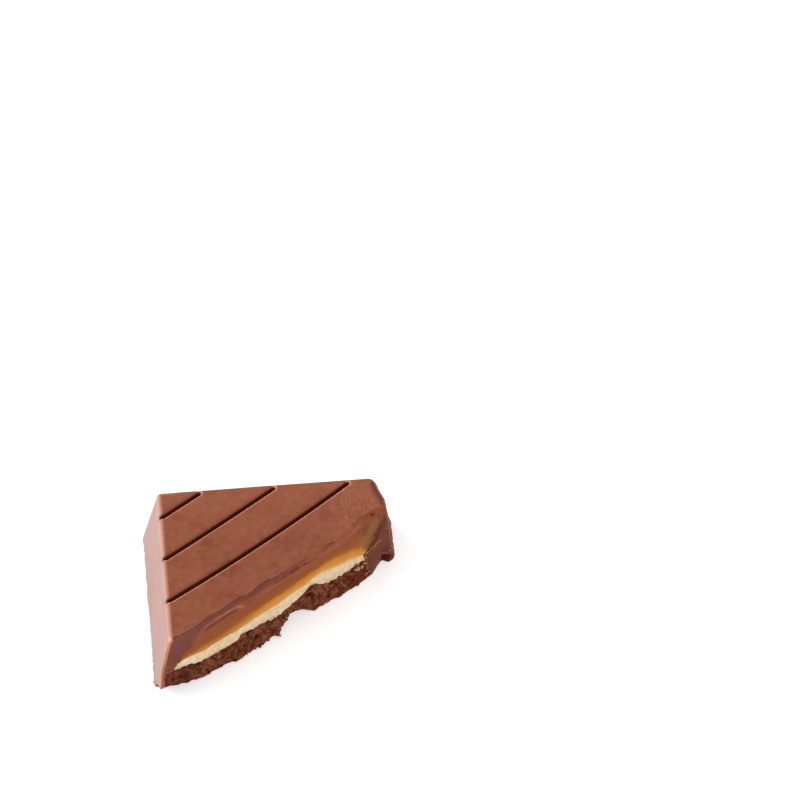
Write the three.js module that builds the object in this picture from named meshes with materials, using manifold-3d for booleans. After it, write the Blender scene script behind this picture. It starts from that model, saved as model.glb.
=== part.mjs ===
// Half of a filled milk chocolate square, snapped across on the slant, cut side to the front.
//
// Millimetres, +Z up. While the pieces are made, x = 0 and y = 0 are the left and front
// sides of the whole square's top face, and z = 0 is the table. At the end the group moves
// so that the origin is the middle of the half's own footprint.

import * as THREE from 'three';
import { mergeVertices } from 'three/addons/utils/BufferGeometryUtils.js';
import Module from 'manifold-3d';

// Moulded block
const TOP_SIDE = 28.5;
const HEIGHT = 10.5;
const DRAFT = 2.25;
const TOP_EDGE_RADIUS = 0.55;
const RIGHT_EDGE_WIDTH = 1.3;
const SHARP_CORNER = 0.7;
const SOFT_CORNER = 1.1;
const CORNER_STEPS = 5;
const EDGE_STEPS = 4;
const WALL_STEPS = 3;

// Grooves pressed into the top face, on the slant
const FIRST_GROOVE_Y = 24.1;
const GROOVE_SPACING = 7.2;
const GROOVE_SLOPE = 0.74;
const GROOVE_BOWS = [0, 0.1, 0.5];
const GROOVE_WIDTH = 0.55;
const GROOVE_DEPTH = 1.0;
const GROOVE_MARGIN = 0.5;
const GROOVE_STEPS = 6;
const GROOVE_END_STEPS = 4;

// Snapped face: a nearly upright plane that starts on the left side and runs back to the right
const BREAK_START_Y = 3.46;
const BREAK_ANGLE = THREE.MathUtils.degToRad(35.18);
const BREAK_SPAN = [-6, 40];
const BREAK_REACH = 27;
const BREAK_COLUMNS = 60;
const BREAK_ROWS = 14;
const FRONT_ROW = 0.9;
const FRONT_STEPS = 5;
const OVERCUT = 1;

// How far the snapped face stands in front of that plane, as [distance along it, offset]
const TOP_EDGE_LINE = [
  [0, 0.25], [6.5, 0.4], [17, 0.5], [23.5, 0.9], [26.6, 0.7], [29, 0.2], [33, -0.4], [35, 0],
];
const MIDDLE_LINE = [[0, 0], [6, 0.5], [30, 0.6], [35, 0.5]];
const FLOOR_LINE = [
  [-2, -3], [0, -1.3], [3, 0], [6, 0.6], [8.8, 0.75], [10, 1.45], [11.6, 1.15], [14, 1.4],
  [15.6, 1], [16.8, 1.75], [17.4, 0.6], [20, -0.4], [21.3, -0.15], [23, 1.05], [27, 1.4],
  [32, 1.4], [34.9, 0.5], [35.5, 1.4], [37, 0.8],
];
const MIDDLE_TOP_Z = 8;
const MIDDLE_BOTTOM_Z = 3.4;
const TOE_BULGE = 1.0;
const TOE_Z = 3.6;
const TOE_HEIGHT = 0.9;
const TOE_START = -2;
const TOE_END = 3;

// Layers, from the table up: the height of each one's top deep inside, and along the snapped
// face as [distance along it, height]
const CRUMB_TOP = {
  level: 3.1,
  line: [
    [0, 4.4], [3.8, 3.5], [7, 3.1], [10.6, 3.1], [11.2, 3.8], [13.5, 3.05],
    [18.3, 2.8], [22.8, 4.3], [25.5, 2.9], [30, 3],
  ],
  waves: 1,
};
const CREAM_TOP = {
  level: 5.2,
  line: [
    [0, 4.4], [2, 5.3], [5, 5.15], [11, 4.95], [17, 5.05], [21, 5.3],
    [23.6, 5.75], [28.3, 4.85], [31.6, 4.05], [34.6, 5.3],
  ],
  waves: 0.5,
};
const CARAMEL_TOP = {
  level: 7.7,
  line: [[1.3, 6.1], [4, 6.8], [9, 7.1], [14, 7.4], [20, 7.7], [25.5, 8.3], [31, 8.2], [34.5, 7.2]],
  waves: 0,
};
const LAYER_WAVES = { size: 2.4, height: 0.16, seed: 13 };
const SETTLING_DEPTH = 3;
const CEILING_DROP = 1.2;
const CEILING_DROP_REACH = 1.1;
const LAYER_GAP = 0.16;
const SUNK = 0.4;
const MOUTH = 0.9;

// Distance of each layer's sides from the outside of the block
const CRUMB_SIDES = { left: 0.8, right: 3.8, back: 1.6 };
const CREAM_SIDES = { left: 1.5, right: 3.8, back: 1.8 };
const CARAMEL_SIDES = { left: 2.2, right: 1.6, back: 1.8 };

// Air pocket that the snap opened at the right end of the caramel
const POCKET = { along: 33.3, out: 1.75, z: 7.4, radius: 1.9 };
const POCKET_STEPS = [14, 10];

// Roughness of each layer's snapped face
const CRUMB_LUMPS = { size: 1.35, height: 0.36, seed: 3 };
const CRUMB_GRAINS = { size: 0.7, height: 0.16, seed: 5 };
const FLOOR_RELIEF = 0.35;
const CREAM_LUMPS = { size: 0.9, height: 0.09, seed: 7 };
const SHELL_LUMPS = { size: 2.6, height: 0.1, seed: 11 };
const CARAMEL_SWELL = 0.14;

const wasm = await Module();
wasm.setup();

const { lerp, smoothstep } = THREE.MathUtils;
const alongX = Math.cos(BREAK_ANGLE);
const alongY = Math.sin(BREAK_ANGLE);

// A smooth curve through a few points, level at each of them
function curveAt(points, at) {
  if (at <= points[0][0]) return points[0][1];
  for (let i = 1; i < points.length; i++) {
    const [start, low] = points[i - 1];
    const [end, high] = points[i];
    if (at < end) return lerp(low, high, smoothstep(at, start, end));
  }
  return points[points.length - 1][1];
}

function latticeValue(i, j, k, seed) {
  const wave = Math.sin(i * 127.1 + j * 311.7 + k * 74.7 + seed * 19.19) * 43758.5453;
  return 2 * (wave - Math.floor(wave)) - 1;
}

// Smooth lumps of one size, between -1 and 1 times their height
function lumpsAt(x, y, z, { size, height, seed }) {
  const cell = [x, y, z].map((value) => Math.floor(value / size));
  const [u, v, w] = [x, y, z].map((value, axis) => smoothstep(value / size - cell[axis], 0, 1));
  const corner = (i, j, k) => latticeValue(cell[0] + i, cell[1] + j, cell[2] + k, seed);
  const row = (j, k) => lerp(corner(0, j, k), corner(1, j, k), u);
  return height * lerp(lerp(row(0, 0), row(1, 0), v), lerp(row(0, 1), row(1, 1), v), w);
}

// From a distance along the snapped face and a distance in front of its plane to x and y
function planPoint(along, out) {
  return [along * alongX + out * alongY, BREAK_START_Y + along * alongY - out * alongX];
}

function alongOf(x, y) {
  return x * alongX + (y - BREAK_START_Y) * alongY;
}

function draftAt(z) {
  return DRAFT * (1 - z / HEIGHT);
}

// How far the snapped face stands in front of its plane
function breakFace(along, z) {
  const middle = curveAt(MIDDLE_LINE, along);
  const upper = smoothstep(z, MIDDLE_TOP_Z, HEIGHT) * (curveAt(TOP_EDGE_LINE, along) - middle);
  const lower = (1 - smoothstep(z, 0, MIDDLE_BOTTOM_Z)) * (curveAt(FLOOR_LINE, along) - middle);
  const toe = TOE_BULGE * Math.exp(-(((z - TOE_Z) / TOE_HEIGHT) ** 2));
  return middle + upper + lower + toe * (1 - smoothstep(along, TOE_START, TOE_END));
}

function shellFace(along, z) {
  return breakFace(along, z) + lumpsAt(along, 0, z, SHELL_LUMPS);
}

function crumbFace(along, z) {
  const relief = lumpsAt(along, 0, z, CRUMB_LUMPS) + lumpsAt(along, 0, z, CRUMB_GRAINS);
  return breakFace(along, z) + relief * lerp(FLOOR_RELIEF, 1, smoothstep(z, 0, 1));
}

function creamFace(along, z) {
  return breakFace(along, z) + lumpsAt(along, 0, z, CREAM_LUMPS);
}

function caramelFace(along, z) {
  return breakFace(along, z) + CARAMEL_SWELL;
}

// The first row of vertices behind the snapped face
function insideFace(along, z) {
  return breakFace(along, z) - FRONT_ROW;
}

// Vertices are shared once normals and texture places are gone
function weld(geometry) {
  geometry.deleteAttribute('normal');
  geometry.deleteAttribute('uv');
  return mergeVertices(geometry);
}

function toSolid(geometry) {
  const welded = weld(geometry);
  return new wasm.Manifold(
    new wasm.Mesh({
      numProp: 3,
      vertProperties: new Float32Array(welded.attributes.position.array),
      triVerts: new Uint32Array(welded.index.array),
    }),
  );
}

function toGeometry(solid) {
  const { vertProperties, triVerts } = solid.getMesh();
  const geometry = new THREE.BufferGeometry();
  geometry.setAttribute('position', new THREE.BufferAttribute(vertProperties, 3));
  geometry.setIndex(new THREE.BufferAttribute(triVerts, 1));
  return geometry;
}

// Leaves out the crumbs of a cut that hang on nothing
function largestBody(solid) {
  const bodies = solid.decompose();
  return bodies.reduce((largest, body) => (body.volume() > largest.volume() ? body : largest));
}

// Moves every vertex of a unit block, given its place from 0 to 1 along each side
function shapeBlock([columns, depthRows, heightRows], place) {
  const block = new THREE.BoxGeometry(1, 1, 1, columns, depthRows, heightRows);
  const { position } = block.attributes;
  for (let i = 0; i < position.count; i++) {
    position.setXYZ(i, ...place(position.getX(i) + 0.5, position.getY(i) + 0.5, position.getZ(i) + 0.5));
  }
  return block;
}

// The whole moulded square: a block whose sides lean in, with rounded corners and top edge
function mouldedBlock() {
  const corners = [
    { x: 0, y: 0, radius: SHARP_CORNER },
    { x: TOP_SIDE, y: 0, radius: SOFT_CORNER },
    { x: TOP_SIDE, y: TOP_SIDE, radius: SOFT_CORNER },
    { x: 0, y: TOP_SIDE, radius: SHARP_CORNER },
  ];
  const outline = new THREE.Shape();
  corners.forEach(({ x, y, radius }, turn) => {
    const centreX = x === 0 ? radius : x - radius;
    const centreY = y === 0 ? radius : y - radius;
    const start = Math.PI + (turn * Math.PI) / 2;
    outline.absarc(centreX, centreY, radius, start, start + Math.PI / 2, false);
  });

  const levels = [];
  for (let i = 0; i < WALL_STEPS; i++) {
    levels.push({ z: (i / WALL_STEPS) * HEIGHT, inset: 0 });
  }
  for (let i = 0; i <= EDGE_STEPS; i++) {
    const turn = (i / EDGE_STEPS) * (Math.PI / 2);
    levels.push({
      z: HEIGHT - TOP_EDGE_RADIUS * (1 - Math.sin(turn)),
      inset: TOP_EDGE_RADIUS * (1 - Math.cos(turn)),
    });
  }
  const block = new THREE.ExtrudeGeometry(outline, {
    depth: levels.length - 1,
    steps: levels.length - 1,
    bevelEnabled: false,
    curveSegments: CORNER_STEPS,
  });

  // The block is a stack of level outlines, one unit apart: each is moved to its height and
  // spread. On the right the top edge is worn wider.
  const middle = TOP_SIDE / 2;
  const { position } = block.attributes;
  for (let i = 0; i < position.count; i++) {
    const { z, inset } = levels[Math.round(position.getZ(i))];
    const fromMiddleX = position.getX(i) - middle;
    const fromMiddleY = position.getY(i) - middle;
    const sideInset = fromMiddleX > 0 ? (inset * RIGHT_EDGE_WIDTH) / TOP_EDGE_RADIUS : inset;
    const x = middle + fromMiddleX * ((middle + draftAt(z) - sideInset) / middle);
    const y = middle + fromMiddleY * ((middle + draftAt(z) - inset) / middle);
    position.setXYZ(i, x, y, z);
  }
  return toSolid(block);
}

// One groove: a slot with round ends, from the left side of the top face to its back. Its middle
// bows towards the front.
function groove(bow, index) {
  const startY = FIRST_GROOVE_Y - index * GROOVE_SPACING;
  const endX = (TOP_SIDE - GROOVE_MARGIN - startY) / GROOVE_SLOPE;
  const across = new THREE.Vector2(-GROOVE_SLOPE, 1).setLength(GROOVE_WIDTH / 2);
  const pointAt = (part, side) => {
    const x = lerp(GROOVE_MARGIN, endX, part);
    const y = startY + GROOVE_SLOPE * x - 4 * bow * part * (1 - part);
    return new THREE.Vector2(x, y).addScaledVector(across, side);
  };

  const slot = new THREE.Shape();
  const { x: startX, y: frontY } = pointAt(0, -1);
  slot.moveTo(startX, frontY);
  for (let i = 1; i <= GROOVE_STEPS; i++) slot.lineTo(...pointAt(i / GROOVE_STEPS, -1));
  const turn = Math.atan(GROOVE_SLOPE);
  slot.absarc(...pointAt(1, 0), GROOVE_WIDTH / 2, turn - Math.PI / 2, turn + Math.PI / 2, false);
  for (let i = GROOVE_STEPS - 1; i >= 0; i--) slot.lineTo(...pointAt(i / GROOVE_STEPS, 1));
  slot.absarc(...pointAt(0, 0), GROOVE_WIDTH / 2, turn + Math.PI / 2, turn + (3 * Math.PI) / 2, false);

  const geometry = new THREE.ExtrudeGeometry(slot, {
    depth: GROOVE_DEPTH + OVERCUT,
    bevelEnabled: false,
    curveSegments: GROOVE_END_STEPS,
  });
  geometry.translate(0, 0, HEIGHT - GROOVE_DEPTH);
  return toSolid(geometry);
}

// What the snap took away: everything in front of the shell's snapped face
function brokenAway() {
  const place = (u, v, w) => {
    const along = lerp(...BREAK_SPAN, u);
    const z = lerp(-OVERCUT, HEIGHT + OVERCUT, w);
    const out = lerp(BREAK_REACH, shellFace(along, Math.max(0, z)), v);
    return [...planPoint(along, out), z];
  };
  return toSolid(shapeBlock([BREAK_COLUMNS, 1, BREAK_ROWS], place));
}

// Where the given face stands at one x and height, found in a few steps
function frontOf(x, z, face) {
  let y = BREAK_START_Y + (x * alongY) / alongX;
  for (let step = 0; step < FRONT_STEPS; step++) {
    y = BREAK_START_Y + (x * alongY - face(alongOf(x, y), Math.max(0, z))) / alongX;
  }
  return y;
}

// One layer of filling. Its front is the given face. With grow and mouth it is the hollow that
// the layer lies in: wider all round, and run out in front.
function layer({ sides, bottom, top, face, segments: [columns, rows, levels] }, grow = 0, mouth = 0) {
  const mouthRows = mouth > 0 ? 1 : 0;
  const place = (u, v, w) => {
    const row = Math.round(v * (rows + mouthRows)) - mouthRows;
    const spot = (z) => {
      const x = lerp(sides.left - draftAt(z) - grow, TOP_SIDE + draftAt(z) - sides.right + grow, u);
      if (row <= 0) return [x, frontOf(x, z, face)];
      const back = TOP_SIDE + draftAt(z) - sides.back + grow;
      return [x, lerp(frontOf(x, z, insideFace), back, (row - 1) / (rows - 1))];
    };
    const [x, y] = spot(HEIGHT / 2);
    const z = lerp(bottom(x, y) - grow, top(x, y) + grow, w);
    const [movedX, movedY] = spot(z);
    return [movedX, row < 0 ? movedY - mouth : movedY, z];
  };
  return toSolid(shapeBlock([columns, rows + mouthRows, levels], place));
}

// A layer's height: its line at the snapped face, settling to one level further in
function levelAt({ line, level, waves }, x, y) {
  const along = alongOf(x, y);
  const depth = Math.max(0, (y - BREAK_START_Y) * alongX - x * alongY);
  const settled = Math.exp(-depth / SETTLING_DEPTH);
  return lerp(level, curveAt(line, along), settled) + waves * lumpsAt(x, y, 0, LAYER_WAVES);
}

const crumbTop = (x, y) => levelAt(CRUMB_TOP, x, y);
const creamTop = (x, y) => levelAt(CREAM_TOP, x, y);

// The chocolate's ceiling comes down in a fillet towards the sides
function caramelTop(x, y) {
  const fromRight = TOP_SIDE - CARAMEL_SIDES.right - x;
  const fromBack = TOP_SIDE - CARAMEL_SIDES.back - y;
  const nearest = Math.max(0, Math.min(fromRight, fromBack));
  return levelAt(CARAMEL_TOP, x, y) - CEILING_DROP * Math.exp(-nearest / CEILING_DROP_REACH);
}

const table = () => 0;
const sunkInto = (height) => (x, y) => height(x, y) - SUNK;

const crumbLayer = {
  sides: CRUMB_SIDES,
  bottom: table,
  top: crumbTop,
  face: crumbFace,
  segments: [56, 7, 6],
};
const creamLayer = {
  sides: CREAM_SIDES,
  bottom: sunkInto(crumbTop),
  top: creamTop,
  face: creamFace,
  segments: [40, 6, 3],
};
const caramelLayer = {
  sides: CARAMEL_SIDES,
  bottom: sunkInto(creamTop),
  top: caramelTop,
  face: caramelFace,
  segments: [32, 6, 3],
};

// The space round a layer, open towards the snapped face and, for the lowest one, below
function hollowFor(filling) {
  const bottom = filling.bottom === table ? () => -OVERCUT : filling.bottom;
  return layer({ ...filling, bottom }, LAYER_GAP, MOUTH);
}

function airPocket(grow) {
  const ball = new THREE.SphereGeometry(POCKET.radius + grow, ...POCKET_STEPS);
  ball.translate(...planPoint(POCKET.along, POCKET.out), POCKET.z);
  return toSolid(ball);
}

const crumbHollow = hollowFor(crumbLayer);
const creamHollow = hollowFor(creamLayer);

function chocolateShell() {
  let shell = mouldedBlock().subtract(brokenAway());
  const hollows = [crumbHollow, creamHollow, hollowFor(caramelLayer), airPocket(0)];
  for (const cut of [...GROOVE_BOWS.map(groove), ...hollows]) {
    shell = shell.subtract(cut);
  }
  return largestBody(shell);
}

const caramel = layer(caramelLayer).subtract(creamHollow).subtract(airPocket(LAYER_GAP));
const cheeseCream = layer(creamLayer).subtract(crumbHollow);

const COLOURS = {
  milkChocolate: { color: 0x965a42, roughness: 0.42 },
  caramel: { color: 0xb8742c, roughness: 0.3 },
  cheeseCream: { color: 0xe3cfa6, roughness: 0.65 },
  cocoaCrumb: { color: 0x653525, roughness: 0.85 },
};

function piece(name, solid, finish) {
  const material = new THREE.MeshStandardMaterial({ ...finish, metalness: 0 });
  const mesh = new THREE.Mesh(toGeometry(solid), material);
  mesh.name = name;
  return mesh;
}

const candy = new THREE.Group();
candy.add(piece('milk_chocolate_shell', chocolateShell(), COLOURS.milkChocolate));
candy.add(piece('caramel_layer', largestBody(caramel), COLOURS.caramel));
candy.add(piece('cheese_cream_layer', largestBody(cheeseCream), COLOURS.cheeseCream));
candy.add(piece('cocoa_crumb_base', layer(crumbLayer), COLOURS.cocoaCrumb));

const footprint = new THREE.Box3().setFromObject(candy).getCenter(new THREE.Vector3());
candy.position.set(-footprint.x, -footprint.y, 0);
candy.updateMatrixWorld(true);

export default candy;
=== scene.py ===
# Half of a filled milk chocolate square, snapped across on the slant, cut side to the front.
#
# Shapes are worked out in millimetres, with x = 0 and y = 0 at the left and front sides of the
# whole square's top face and z = 0 on the table. Each finished mesh is then moved to the frame.
# Places on the snapped face are given as along, the distance along it from the left, and z.

import math
from functools import partial, reduce
from itertools import product

import bmesh
import bpy
import numpy as np
import openvdb
from mathutils import Matrix, Vector


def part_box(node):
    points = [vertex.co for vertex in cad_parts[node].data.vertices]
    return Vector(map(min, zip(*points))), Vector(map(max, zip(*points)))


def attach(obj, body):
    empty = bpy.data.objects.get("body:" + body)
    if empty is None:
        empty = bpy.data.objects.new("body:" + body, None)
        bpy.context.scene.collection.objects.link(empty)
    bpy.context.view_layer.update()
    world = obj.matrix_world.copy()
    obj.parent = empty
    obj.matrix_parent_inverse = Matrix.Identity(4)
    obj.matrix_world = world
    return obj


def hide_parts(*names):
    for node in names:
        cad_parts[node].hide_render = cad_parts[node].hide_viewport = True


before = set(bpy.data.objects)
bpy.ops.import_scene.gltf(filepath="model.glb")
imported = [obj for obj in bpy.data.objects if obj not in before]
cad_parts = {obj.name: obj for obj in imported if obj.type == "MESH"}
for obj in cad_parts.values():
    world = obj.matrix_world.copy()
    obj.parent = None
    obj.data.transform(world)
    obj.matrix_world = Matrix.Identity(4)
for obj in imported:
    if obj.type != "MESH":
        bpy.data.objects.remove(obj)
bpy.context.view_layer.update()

MM = 0.001

# Moulded block
TOP_SIDE = 28.5
HEIGHT = 10.5
DRAFT = 2.25
TOP_EDGE_RADIUS = 0.55
RIGHT_EDGE_WIDTH = 1.3
RIGHT_EDGE_HEIGHT = 1.0
RIGHT_EDGE_START = (20, 24)
RIGHT_EDGE_TURN = (-0.5, 2.5)
BACK_EDGE_RADIUS = 0.12
BACK_EDGE_TURN = (-0.5, 1.0)
BACK_BULGE = 0.12
FOOT_EDGE_RADIUS = 0.12
SHARP_CORNER = 0.35
SOFT_CORNER = 1.1
WALL_LEAN = math.atan(DRAFT / HEIGHT)

# Grooves pressed into the top face, on the slant
FIRST_GROOVE_Y = 24.1
GROOVE_SPACING = 7.2
GROOVE_SLOPE = 0.74
GROOVE_BOWS = [0, 0.1, 0.5]
GROOVE_WIDTH = 0.62
GROOVE_DEPTH = 0.85
GROOVE_START = 0.5
GROOVE_ENDS = [0.42, 0.45, 0.5]
GROOVE_NEAR_LIP = 0.05
GROOVE_FAR_LIP = 0.4
GROOVE_LIP_TURN = (-0.1, 0.1)
GROOVE_FLOOR_RADIUS = 0.15
GROOVE_TURN = math.atan(GROOVE_SLOPE)

# Snapped face
BREAK_START_Y = 3.46
BREAK_ANGLE = math.radians(35.18)
TOP_EDGE_LINE = [
    (0, 0.25), (6.5, 0.4), (17, 0.5), (23.5, 0.95), (26.6, 0.95), (29, 0.6), (33, -0.15), (35, 0.1),
]
MIDDLE_LINE = [(0, 0), (6, 0.5), (30, 0.6), (35, 0.5)]
FLOOR_LINE = [
    (-2, -3), (0, -1.3), (3, 0), (6, 0.6), (8.8, 0.75), (10, 1.45), (11.6, 1.15), (14, 1.4),
    (15.6, 1), (16.6, 1.5), (17.3, 0.5), (20, -0.4), (21.3, -0.15), (23, 1.05), (27, 1.4),
    (32, 1.4), (34.9, 0.5), (35.5, 1.4), (37, 0.8),
]
MIDDLE_TOP_Z = 8
MIDDLE_BOTTOM_Z = 3.4
TOE_BULGE = 1.0
TOE_Z = 3.6
TOE_HEIGHT = 0.9
TOE_START = -2
TOE_END = 3
SNAP_EDGE_RADIUS = 0.16

# Layers: the height of each one's top deep inside, and along the snapped face
CRUMB_TOP = {
    "level": 3.1,
    "line": [
        (0, 4.4), (3.8, 3.35), (7, 2.85), (10.4, 2.8), (11.2, 3.65), (13.5, 3.0),
        (18.3, 2.75), (22.8, 4.2), (25.5, 2.85), (30, 2.9),
    ],
    "waves": 1,
}
CREAM_TOP = {
    "level": 5.2,
    "line": [
        (0, 4.4), (2, 5.3), (5, 5.15), (11, 4.95), (17, 5.05), (21, 5.3),
        (23.6, 5.75), (28.3, 4.85), (31.6, 4.05), (34.6, 5.3),
    ],
    "waves": 0.5,
}
CARAMEL_TOP = {
    "level": 7.7,
    "line": [
        (1.3, 6.1), (4, 6.8), (9, 7.1), (14, 7.4), (20, 7.7), (25.5, 8.3), (31, 8.2), (34.5, 7.2),
    ],
    "waves": 0,
}
SETTLING_DEPTH = 3
CEILING_DROP = 1.2
CEILING_DROP_REACH = 1.1
SEAM_DEPTH = 2.5
CRUMB_SIDES = {"left": 0.8, "right": 3.8, "back": 1.6}
CREAM_SIDES = {"left": 1.5, "right": 3.8, "back": 1.8}
CARAMEL_SIDES = {"left": 2.2, "right": 1.6, "back": 1.8}
OVERLAP = 0.06
JOIN_REACH = 0.3
ROOM_CORNER = 0.3
SEAM_CORNER = 0.05
CREAM_EDGE_RADIUS = 0.12
BELOW_TABLE = -1.0
RAGGED_LEFT = (2, 4)
RAGGED_RIGHT = (22, 25)
CARAMEL_SWELL = 0.12
CARAMEL_SWELL_REACH = 1.3
CEILING_OVERLAP = 0.35
CEILING_DIP = 0.15
CEILING_DIP_START = -0.05

# Lumps: size, height and seed of each kind
LAYER_WAVES = (2.4, 0.16, 13)
CRUMB_LUMPS = (1.3, 0.44, 3)
CRUMB_GRAINS = (0.7, 0.16, 5)
CREAM_LUMPS = (0.9, 0.04, 7)
SHELL_LUMPS = (2.6, 0.1, 11)
SEAM_LUMPS = (0.85, 0.2, 23)
SEAM_CRUMBS = (0.36, 0.2, 29)
CREAM_SEAM_LUMPS = (1.1, 0.07, 31)
SIDE_LUMPS = (0.9, 0.35, 53)
SIDE_CRUMBS = (0.4, 0.16, 59)
WALL_WAVES = (7.0, 0.05, 37)
FOOT_FLASH = (0.6, 0.09, 71)
FOOT_FLASH_HEIGHT = 0.6
FLAKE_LUMPS = (0.5, 0.09, 73)
FLAKE_EDGE = (0.8, 0.5, 79)
CREAM_CURDS = (0.4, 0.02, 41)
CRUMB_DUST = (0.22, 0.05, 43)
SNAP_GRAIN = (0.5, 0.03, 47)
# Where the shell's lumps show: from the caramel's ceiling upwards, and at both ends
LUMPS_RISE = 1.2
LUMPS_LEFT = (-1.0, 1.0)
LUMPS_RIGHT = (32, 34)

# Right wall beside the snap: pushed out near the top, and with a thin flake gone
PUSH = 0.85
PUSH_START = (24, 27)
PUSH_REACH = (-3.8, -0.4)
PUSH_HEIGHTS = (0.5, 10.0)
FLAKE_DEPTH = 0.16
FLAKE_START = (33.0, 34.4)
FLAKE_REACH = 4.4
FLAKE_FADE = 1.0
FLAKE_TOP = (9.2, 9.9)

ALONG_X = math.cos(BREAK_ANGLE)
ALONG_Y = math.sin(BREAK_ANGLE)


def ease(value, low, high):
    part = np.clip((value - low) / (high - low), 0.0, 1.0)
    return part * part * (3.0 - 2.0 * part)


def mix(start, end, part):
    return start + (end - start) * part


def curve_at(points, at):
    """A smooth curve through a few points, level at each of them"""
    places, values = np.array(points, float).T
    index = np.clip(np.searchsorted(places, at, side="right") - 1, 0, len(places) - 2)
    part = ease(at, places[index], places[index + 1])
    return mix(values[index], values[index + 1], part)


# A sine's turn for each step on the lattice and for the seed, and how far it is stretched
LATTICE_TURNS = (127.1, 311.7, 74.7)
SEED_TURN = 19.19
LATTICE_STRETCH = 43758.5453


def lattice_value(i, j, k, seed):
    """A number between -1 and 1 that looks drawn, and is always the same at the same place"""
    turn_i, turn_j, turn_k = LATTICE_TURNS
    wave = np.sin(i * turn_i + j * turn_j + k * turn_k + seed * SEED_TURN) * LATTICE_STRETCH
    return 2.0 * (wave - np.floor(wave)) - 1.0


def lumps_at(x, y, z, kind):
    """Smooth lumps of one size, between -1 and 1 times their height"""
    size, height, seed = kind
    places = [np.asarray(value, float) / size for value in (x, y, z)]
    cells = [np.floor(place) for place in places]
    parts = [ease(place - cell, 0.0, 1.0) for place, cell in zip(places, cells)]
    total = 0.0
    for corner in product((0, 1), repeat=3):
        weight = 1.0
        for step, part in zip(corner, parts):
            weight = weight * (part if step else 1.0 - part)
        i, j, k = [cell + step for cell, step in zip(cells, corner)]
        total = total + weight * lattice_value(i, j, k, seed)
    return height * total


GRAIN_STRAY = 0.32


def nearest_grain(x, y, z, size, seed):
    """Distance to the nearest scattered grain's middle, in grain sizes, and its own number"""
    places = [np.asarray(value, float) / size for value in (x, y, z)]
    cells = [np.floor(place - 0.5) for place in places]
    nearest = np.full(np.broadcast(*places).shape, np.inf)
    number = np.zeros_like(nearest)
    for corner in product((0, 1), repeat=3):
        i, j, k = [cell + step for cell, step in zip(cells, corner)]
        gaps = [
            place - cell - 0.5 - GRAIN_STRAY * lattice_value(i, j, k, seed + axis)
            for axis, (place, cell) in enumerate(zip(places, (i, j, k)))
        ]
        distance = np.sqrt(gaps[0] ** 2 + gaps[1] ** 2 + gaps[2] ** 2)
        closer = distance < nearest
        nearest = np.where(closer, distance, nearest)
        number = np.where(closer, lattice_value(i, j, k, seed + len(gaps)), number)
    return nearest, number


def plan_point(along, out):
    """From a distance along the snapped face and one in front of its plane to x and y"""
    x = along * ALONG_X + out * ALONG_Y
    y = BREAK_START_Y + along * ALONG_Y - out * ALONG_X
    return x, y


def face_place(x, y):
    """The distance along the snapped face and the one in front of its plane"""
    along = x * ALONG_X + (y - BREAK_START_Y) * ALONG_Y
    out = x * ALONG_Y - (y - BREAK_START_Y) * ALONG_X
    return along, out


def draft_at(z):
    return DRAFT * (1 - z / HEIGHT)


def round_edge(first, second, radius):
    """The distance field of what lies in both, with a rounded edge where they meet"""
    beyond = np.hypot(np.maximum(first + radius, 0), np.maximum(second + radius, 0))
    return np.minimum(np.maximum(first, second), -radius) + beyond


def break_face(along, z):
    """How far the snapped face stands in front of its plane"""
    z = np.clip(z, 0, HEIGHT)
    middle = curve_at(MIDDLE_LINE, along)
    upper = ease(z, MIDDLE_TOP_Z, HEIGHT) * (curve_at(TOP_EDGE_LINE, along) - middle)
    lower = (1 - ease(z, 0, MIDDLE_BOTTOM_Z)) * (curve_at(FLOOR_LINE, along) - middle)
    toe = TOE_BULGE * np.exp(-(((z - TOE_Z) / TOE_HEIGHT) ** 2))
    return middle + upper + lower + toe * (1 - ease(along, TOE_START, TOE_END))


# Ridges, lines and pits that the snap left in the chocolate above the caramel. A stroke runs
# from one (along, z) to another, with its half width and its height, below 0 for a furrow.
SNAP_STROKES = [
    ((5.4, 9.2), (8.2, 9.4), 0.2, 0.07),
    ((8.0, 9.4), (11.0, 9.15), 0.2, 0.07),
    ((10.9, 9.2), (11.6, 8.6), 0.25, 0.07),
    ((3.7, 7.4), (5.1, 8.8), 0.5, 0.02),
    ((5.2, 8.8), (10.4, 8.7), 0.22, -0.06),
    ((13.6, 8.75), (15.3, 8.9), 0.2, 0.04),
    ((15.6, 8.75), (17.4, 8.7), 0.17, 0.04),
    ((17.0, 9.15), (21.5, 9.55), 0.2, -0.07),
    ((12.0, 9.8), (20.5, 9.85), 0.3, -0.04),
    ((24.6, 9.0), (27.4, 9.2), 0.2, 0.04),
    ((28.2, 9.2), (31.2, 9.5), 0.18, 0.04),
    ((32.6, 3.95), (34.4, 4.95), 0.13, 0.16),
]
# Pits along the same chocolate: along, z, radius and depth
SNAP_PITS = [
    (18.4, 9.1, 0.14, 0.2), (19.6, 9.2, 0.18, 0.3), (20.3, 9.4, 0.15, 0.25), (21.6, 9.5, 0.2, 0.3),
    (22.2, 9.2, 0.15, 0.2), (23.1, 9.4, 0.12, 0.2), (33.6, 9.6, 0.17, 0.3), (34.5, 8.9, 0.12, 0.2),
    (35.3, 0.75, 0.5, 1.3),
]
# The smooth hollow beside the caramel's right end runs from one (along, z) to another.
HOLLOW_START = (32.7, 5.7)
HOLLOW_END = (33.9, 7.5)
HOLLOW_WIDTH = 1.5
HOLLOW_DEPTH = 0.4
HOLLOW_BRIM = (1.0, 1.4)


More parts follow.
